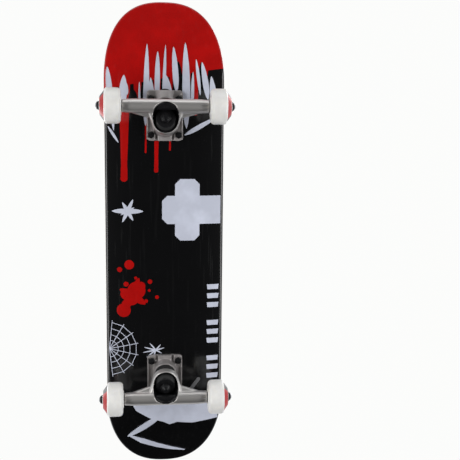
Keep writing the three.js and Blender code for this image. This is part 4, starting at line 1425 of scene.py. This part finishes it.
def bearing_shapes(s):
    """A bearing about Y, centred: each part's name, mesh and finish."""
    half, bore = s.bearing_width / 2, s.axle_radius + 0.03 * MM
    outer, land, edge = s.bearing_radius, 1.75 * MM, 0.3 * MM
    ball_count, ball_radius = 7, 1.7 * MM
    races = bmesh.new()
    for low, high in ((bore, bore + land), (outer - land, outer)):
        merge(races, spin_profile([
            (low, -half + edge), (low + edge, -half), (high - edge, -half), (high, -half + edge),
            (high, half - edge), (high - edge, half), (low + edge, half), (low, half - edge),
        ], 56))
    shields = bmesh.new()
    face = half - 0.45 * MM
    inside, outside = bore + land + 0.12 * MM, outer - land - 0.02 * MM
    for way in (1, -1):
        merge(shields, spin_profile([(radius, way * height) for radius, height in (
            (inside, face - 0.5 * MM), (inside, face), (bore + land + 0.9 * MM, face + 0.1 * MM),
            (outer - land - 0.9 * MM, face + 0.1 * MM), (outside, face - 0.1 * MM),
            (outside, face - 0.6 * MM),
        )], 56))
    balls = bmesh.new()
    orbit = (bore + outer) / 2
    for i in range(ball_count):
        step = math.tau * i / ball_count
        place = Vector((orbit * math.cos(step), 0, orbit * math.sin(step)))
        bmesh.ops.create_uvsphere(balls, u_segments=16, v_segments=10, radius=ball_radius,
                                  matrix=Matrix.Translation(place))
    return (("races", races, "bright_steel"), ("shields", shields, "shield"),
            ("balls", balls, "bright_steel"))


class SKATEBOARD_OT_wheels(bpy.types.Operator):
    """Casts the four wheels with printed sides, and fits two ball bearings in each"""

    bl_idname = "skateboard.wheels"
    bl_label = "Wheels and bearings"

    def execute(self, context):
        s = context.scene.skateboard_wheel
        for end in ENDS:
            truck = Truck(end, context.scene.skateboard_truck)
            for way in (1, -1):
                place = f"{end}_{truck.side(way)}"
                low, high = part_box(f"wheel_{place}")
                self.wheel(s, place, (low + high) / 2)
                for side in ("inner", "outer"):
                    self.bearing(s, place, side)
        return {"FINISHED"}

    @staticmethod
    def wheel(s, place, middle):
        cone_starts = s.width / 2 - s.cone_depth
        margin = 0.9 * MM
        sectors = (2, 2, 1, 0, 2, 2, 1, 1, 1, 2)

        def printed(centre):
            """The finish of a face: bare outside the cone's printed band, and by its sector inside."""
            radius = math.hypot(centre.x, centre.z)
            if centre.y < cone_starts or not s.hub + margin < radius < s.cone_radius - margin:
                return 0
            turn = math.atan2(centre.z, centre.x) / math.tau % 1
            return sectors[int(turn * len(sectors))]

        bm = spin_profile(wheel_shape(s), 100, printed)
        outward = Matrix.Rotation(0 if middle.y > 0 else math.pi, 4, "Z")
        bmesh.ops.transform(bm, matrix=outward, verts=bm.verts)
        bmesh.ops.translate(bm, vec=middle, verts=bm.verts)
        piece(f"wheel_tyre_{place}", bm, ["urethane", "print_red", "print_black"], f"wheelset_{place}",
              [f"wheel_{place}"])

    @staticmethod
    def bearing(s, place, side):
        low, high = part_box(f"bearing_{place}_{side}")
        for part, bm, material in bearing_shapes(s):
            along(bm, (0, 1, 0), (low + high) / 2)
            replaced = [f"bearing_{place}_{side}"] if part == "races" else []
            piece(f"bearing_{part}_{place}_{side}", bm, [material], f"wheelset_{place}",
                  replaced)


# ---------------------------------------------------------------- stage
def floor_material():
    """A pale matt floor, shown from above only and open to light from below."""
    material, tree, shader, coordinates = new_material("studio_floor")
    grain = effect(tree, "speckle", coordinates, 90.0)
    vary(tree, shader, (0.86, 0.86, 0.86), grain.outputs["Mask"], 0.01)
    shader.inputs["Roughness"].default_value = 0.9
    clear = tree.nodes.new("ShaderNodeBsdfTransparent")
    geometry = tree.nodes.new("ShaderNodeNewGeometry")
    path = tree.nodes.new("ShaderNodeLightPath")
    hidden = node(tree, "ShaderNodeMath", operation="SUBTRACT", use_clamp=True)
    choose = tree.nodes.new("ShaderNodeMixShader")
    link(tree, path.outputs["Is Camera Ray"], hidden.inputs[0])
    link(tree, geometry.outputs["Backfacing"], hidden.inputs[1])
    link(tree, hidden.outputs[0], choose.inputs["Fac"])
    link(tree, clear.outputs["BSDF"], choose.inputs[1])
    link(tree, shader.outputs["BSDF"], choose.inputs[2])
    link(tree, choose.outputs["Shader"], tree.nodes["Material Output"].inputs["Surface"])
    return material


def soft_light(name, place, target, size, energy):
    data = bpy.data.lights.new(name, "AREA")
    data.shape = "RECTANGLE"
    data.size, data.size_y = size
    data.energy = energy
    lamp = bpy.data.objects.new(name, data)
    lamp.location = place
    lamp.rotation_euler = (Vector(target) - Vector(place)).to_track_quat("-Z", "Y").to_euler()
    bpy.context.scene.collection.objects.link(lamp)


FLOOR_REACH = 60.0  # far enough for a straight horizon


class SKATEBOARD_OT_stage(bpy.types.Operator):
    """Sets the camera under the board, the pale floor, the white surround and the soft lights"""

    bl_idname = "skateboard.stage"
    bl_label = "Stage"

    def execute(self, context):
        self.camera(context)
        self.surround(context)
        bm = bmesh.new()
        bmesh.ops.create_grid(bm, x_segments=1, y_segments=1, size=FLOOR_REACH)
        data = bpy.data.meshes.new("floor")
        bm.to_mesh(data)
        bm.free()
        floor = bpy.data.objects.new("floor", data)
        context.scene.collection.objects.link(floor)
        data.materials.append(floor_material())
        soft_light("below_left", (0.05, -1.5, -1.25), (0, -0.05, 0.08), (2.4, 0.7), 32)
        soft_light("below_right", (0.0, 1.55, -1.2), (0, 0.05, 0.08), (2.4, 0.6), 29)
        soft_light("nose_side", (2.1, 0.0, -0.15), (0.1, 0, 0.04), (1.3, 0.6), 3.5)
        soft_light("above_left", (0.6, 1.6, 1.9), (0, 0, 0.1), (1.6, 1.2), 19)
        soft_light("above_right", (-0.6, -1.7, 1.8), (0, 0, 0.1), (1.6, 1.2), 17)
        context.scene.view_settings.view_transform = "Standard"
        return {"FINISHED"}

    @staticmethod
    def camera(context):
        data = bpy.data.cameras.new("camera")
        data.lens = 65.16
        data.sensor_width = 36.0
        data.clip_start, data.clip_end = 0.05, 50
        made = bpy.data.objects.new("camera", data)
        pitch, yaw, roll = -0.164, -0.111, -0.013
        level = Matrix(((0, 1, 0), (1, 0, 0), (0, 0, 1)))
        turned = (Matrix.Rotation(roll, 3, "Z") @ Matrix.Rotation(pitch, 3, "X")
                  @ Matrix.Rotation(yaw, 3, "Y") @ level)
        right, up, forward = turned.row
        rotation = Matrix((right, up, -forward)).transposed().to_4x4()
        made.matrix_world = Matrix.Translation((0.23775, -0.0404, -1.197)) @ rotation
        context.scene.collection.objects.link(made)
        context.scene.camera = made

    @staticmethod
    def surround(context):
        """White behind the object, and dimmer where it is only reflected."""
        world = bpy.data.worlds.new("surround")
        context.scene.world = world
        world.use_nodes = True
        tree = world.node_tree
        shown = tree.nodes["Background"]
        shown.inputs["Color"].default_value = (0.97, 0.975, 0.965, 1)
        lit = tree.nodes.new("ShaderNodeBackground")
        lit.inputs["Color"].default_value = (0.95, 0.97, 1, 1)
        direction = node(tree, "ShaderNodeSeparateXYZ")
        height = node(tree, "ShaderNodeMapRange", From_Min=-1.0, From_Max=1.0)
        sky = ramp(tree, [(0.0, 0.045), (0.18, 0.06), (0.32, 0.20), (0.48, 0.75), (1.0, 0.85)])
        behind = node(tree, "ShaderNodeMapRange", From_Min=-0.95, From_Max=-0.35, To_Min=0.0, To_Max=1.0)
        above = node(tree, "ShaderNodeMapRange", From_Min=-0.05, From_Max=0.15, To_Min=0.07, To_Max=1.0)
        shade = node(tree, "ShaderNodeMath", operation="MAXIMUM")
        strength = node(tree, "ShaderNodeMath", operation="MULTIPLY")
        link(tree, tree.nodes.new("ShaderNodeTexCoord").outputs["Generated"], direction.inputs[0])
        link(tree, direction.outputs["Z"], height.inputs["Value"])
        link(tree, height.outputs["Result"], sky.inputs["Fac"])
        link(tree, direction.outputs["X"], behind.inputs["Value"])
        link(tree, direction.outputs["Z"], above.inputs["Value"])
        link(tree, behind.outputs["Result"], shade.inputs[0])
        link(tree, above.outputs["Result"], shade.inputs[1])
        link(tree, sky.outputs["Color"], strength.inputs[0])
        link(tree, shade.outputs[0], strength.inputs[1])
        link(tree, strength.outputs[0], lit.inputs["Strength"])
        path = tree.nodes.new("ShaderNodeLightPath")
        mix = tree.nodes.new("ShaderNodeMixShader")
        link(tree, path.outputs["Is Camera Ray"], mix.inputs["Fac"])
        link(tree, lit.outputs[0], mix.inputs[1])
        link(tree, shown.outputs[0], mix.inputs[2])
        link(tree, mix.outputs[0], tree.nodes["World Output"].inputs["Surface"])


# ---------------------------------------------------------------- add-on
SETTINGS = {
    "skateboard_deck": DeckSizes,
    "skateboard_grip": GripSizes,
    "skateboard_truck": TruckSizes,
    "skateboard_wheel": WheelSizes,
    "skateboard_colours": Colours,
}
OPERATORS = (
    SKATEBOARD_OT_stage,
    SKATEBOARD_OT_deck,
    SKATEBOARD_OT_grip_tape,
    SKATEBOARD_OT_pattern,
    SKATEBOARD_OT_strip_lines,
    SKATEBOARD_OT_mounting_hardware,
    SKATEBOARD_OT_baseplates,
    SKATEBOARD_OT_hangers,
    SKATEBOARD_OT_kingpins,
    SKATEBOARD_OT_axles,
    SKATEBOARD_OT_wheels,
)


class SKATEBOARD_PT_pieces(bpy.types.Panel):
    """Lists the pieces and their sizes"""

    bl_label = "Skateboard"
    bl_idname = "SKATEBOARD_PT_pieces"
    bl_space_type = "VIEW_3D"
    bl_region_type = "UI"
    bl_category = "Skateboard"

    def draw(self, context):
        for operator in OPERATORS:
            self.layout.operator(operator.bl_idname)
        for attribute, settings in SETTINGS.items():
            section = self.layout.box()
            section.label(text=settings.__name__)
            for key in settings.__annotations__:
                section.prop(getattr(context.scene, attribute), key)


CLASSES = (*SETTINGS.values(), *OPERATORS, SKATEBOARD_PT_pieces)


def register():
    for item in CLASSES:
        bpy.utils.register_class(item)
    for attribute, settings in SETTINGS.items():
        setattr(bpy.types.Scene, attribute, bpy.props.PointerProperty(type=settings))


def unregister():
    for attribute in SETTINGS:
        delattr(bpy.types.Scene, attribute)
    for item in reversed(CLASSES):
        bpy.utils.unregister_class(item)


def main():
    register()
    for operator in OPERATORS:
        group, name = operator.bl_idname.split(".")
        getattr(getattr(bpy.ops, group), name)()


if __name__ == "__main__":
    main()
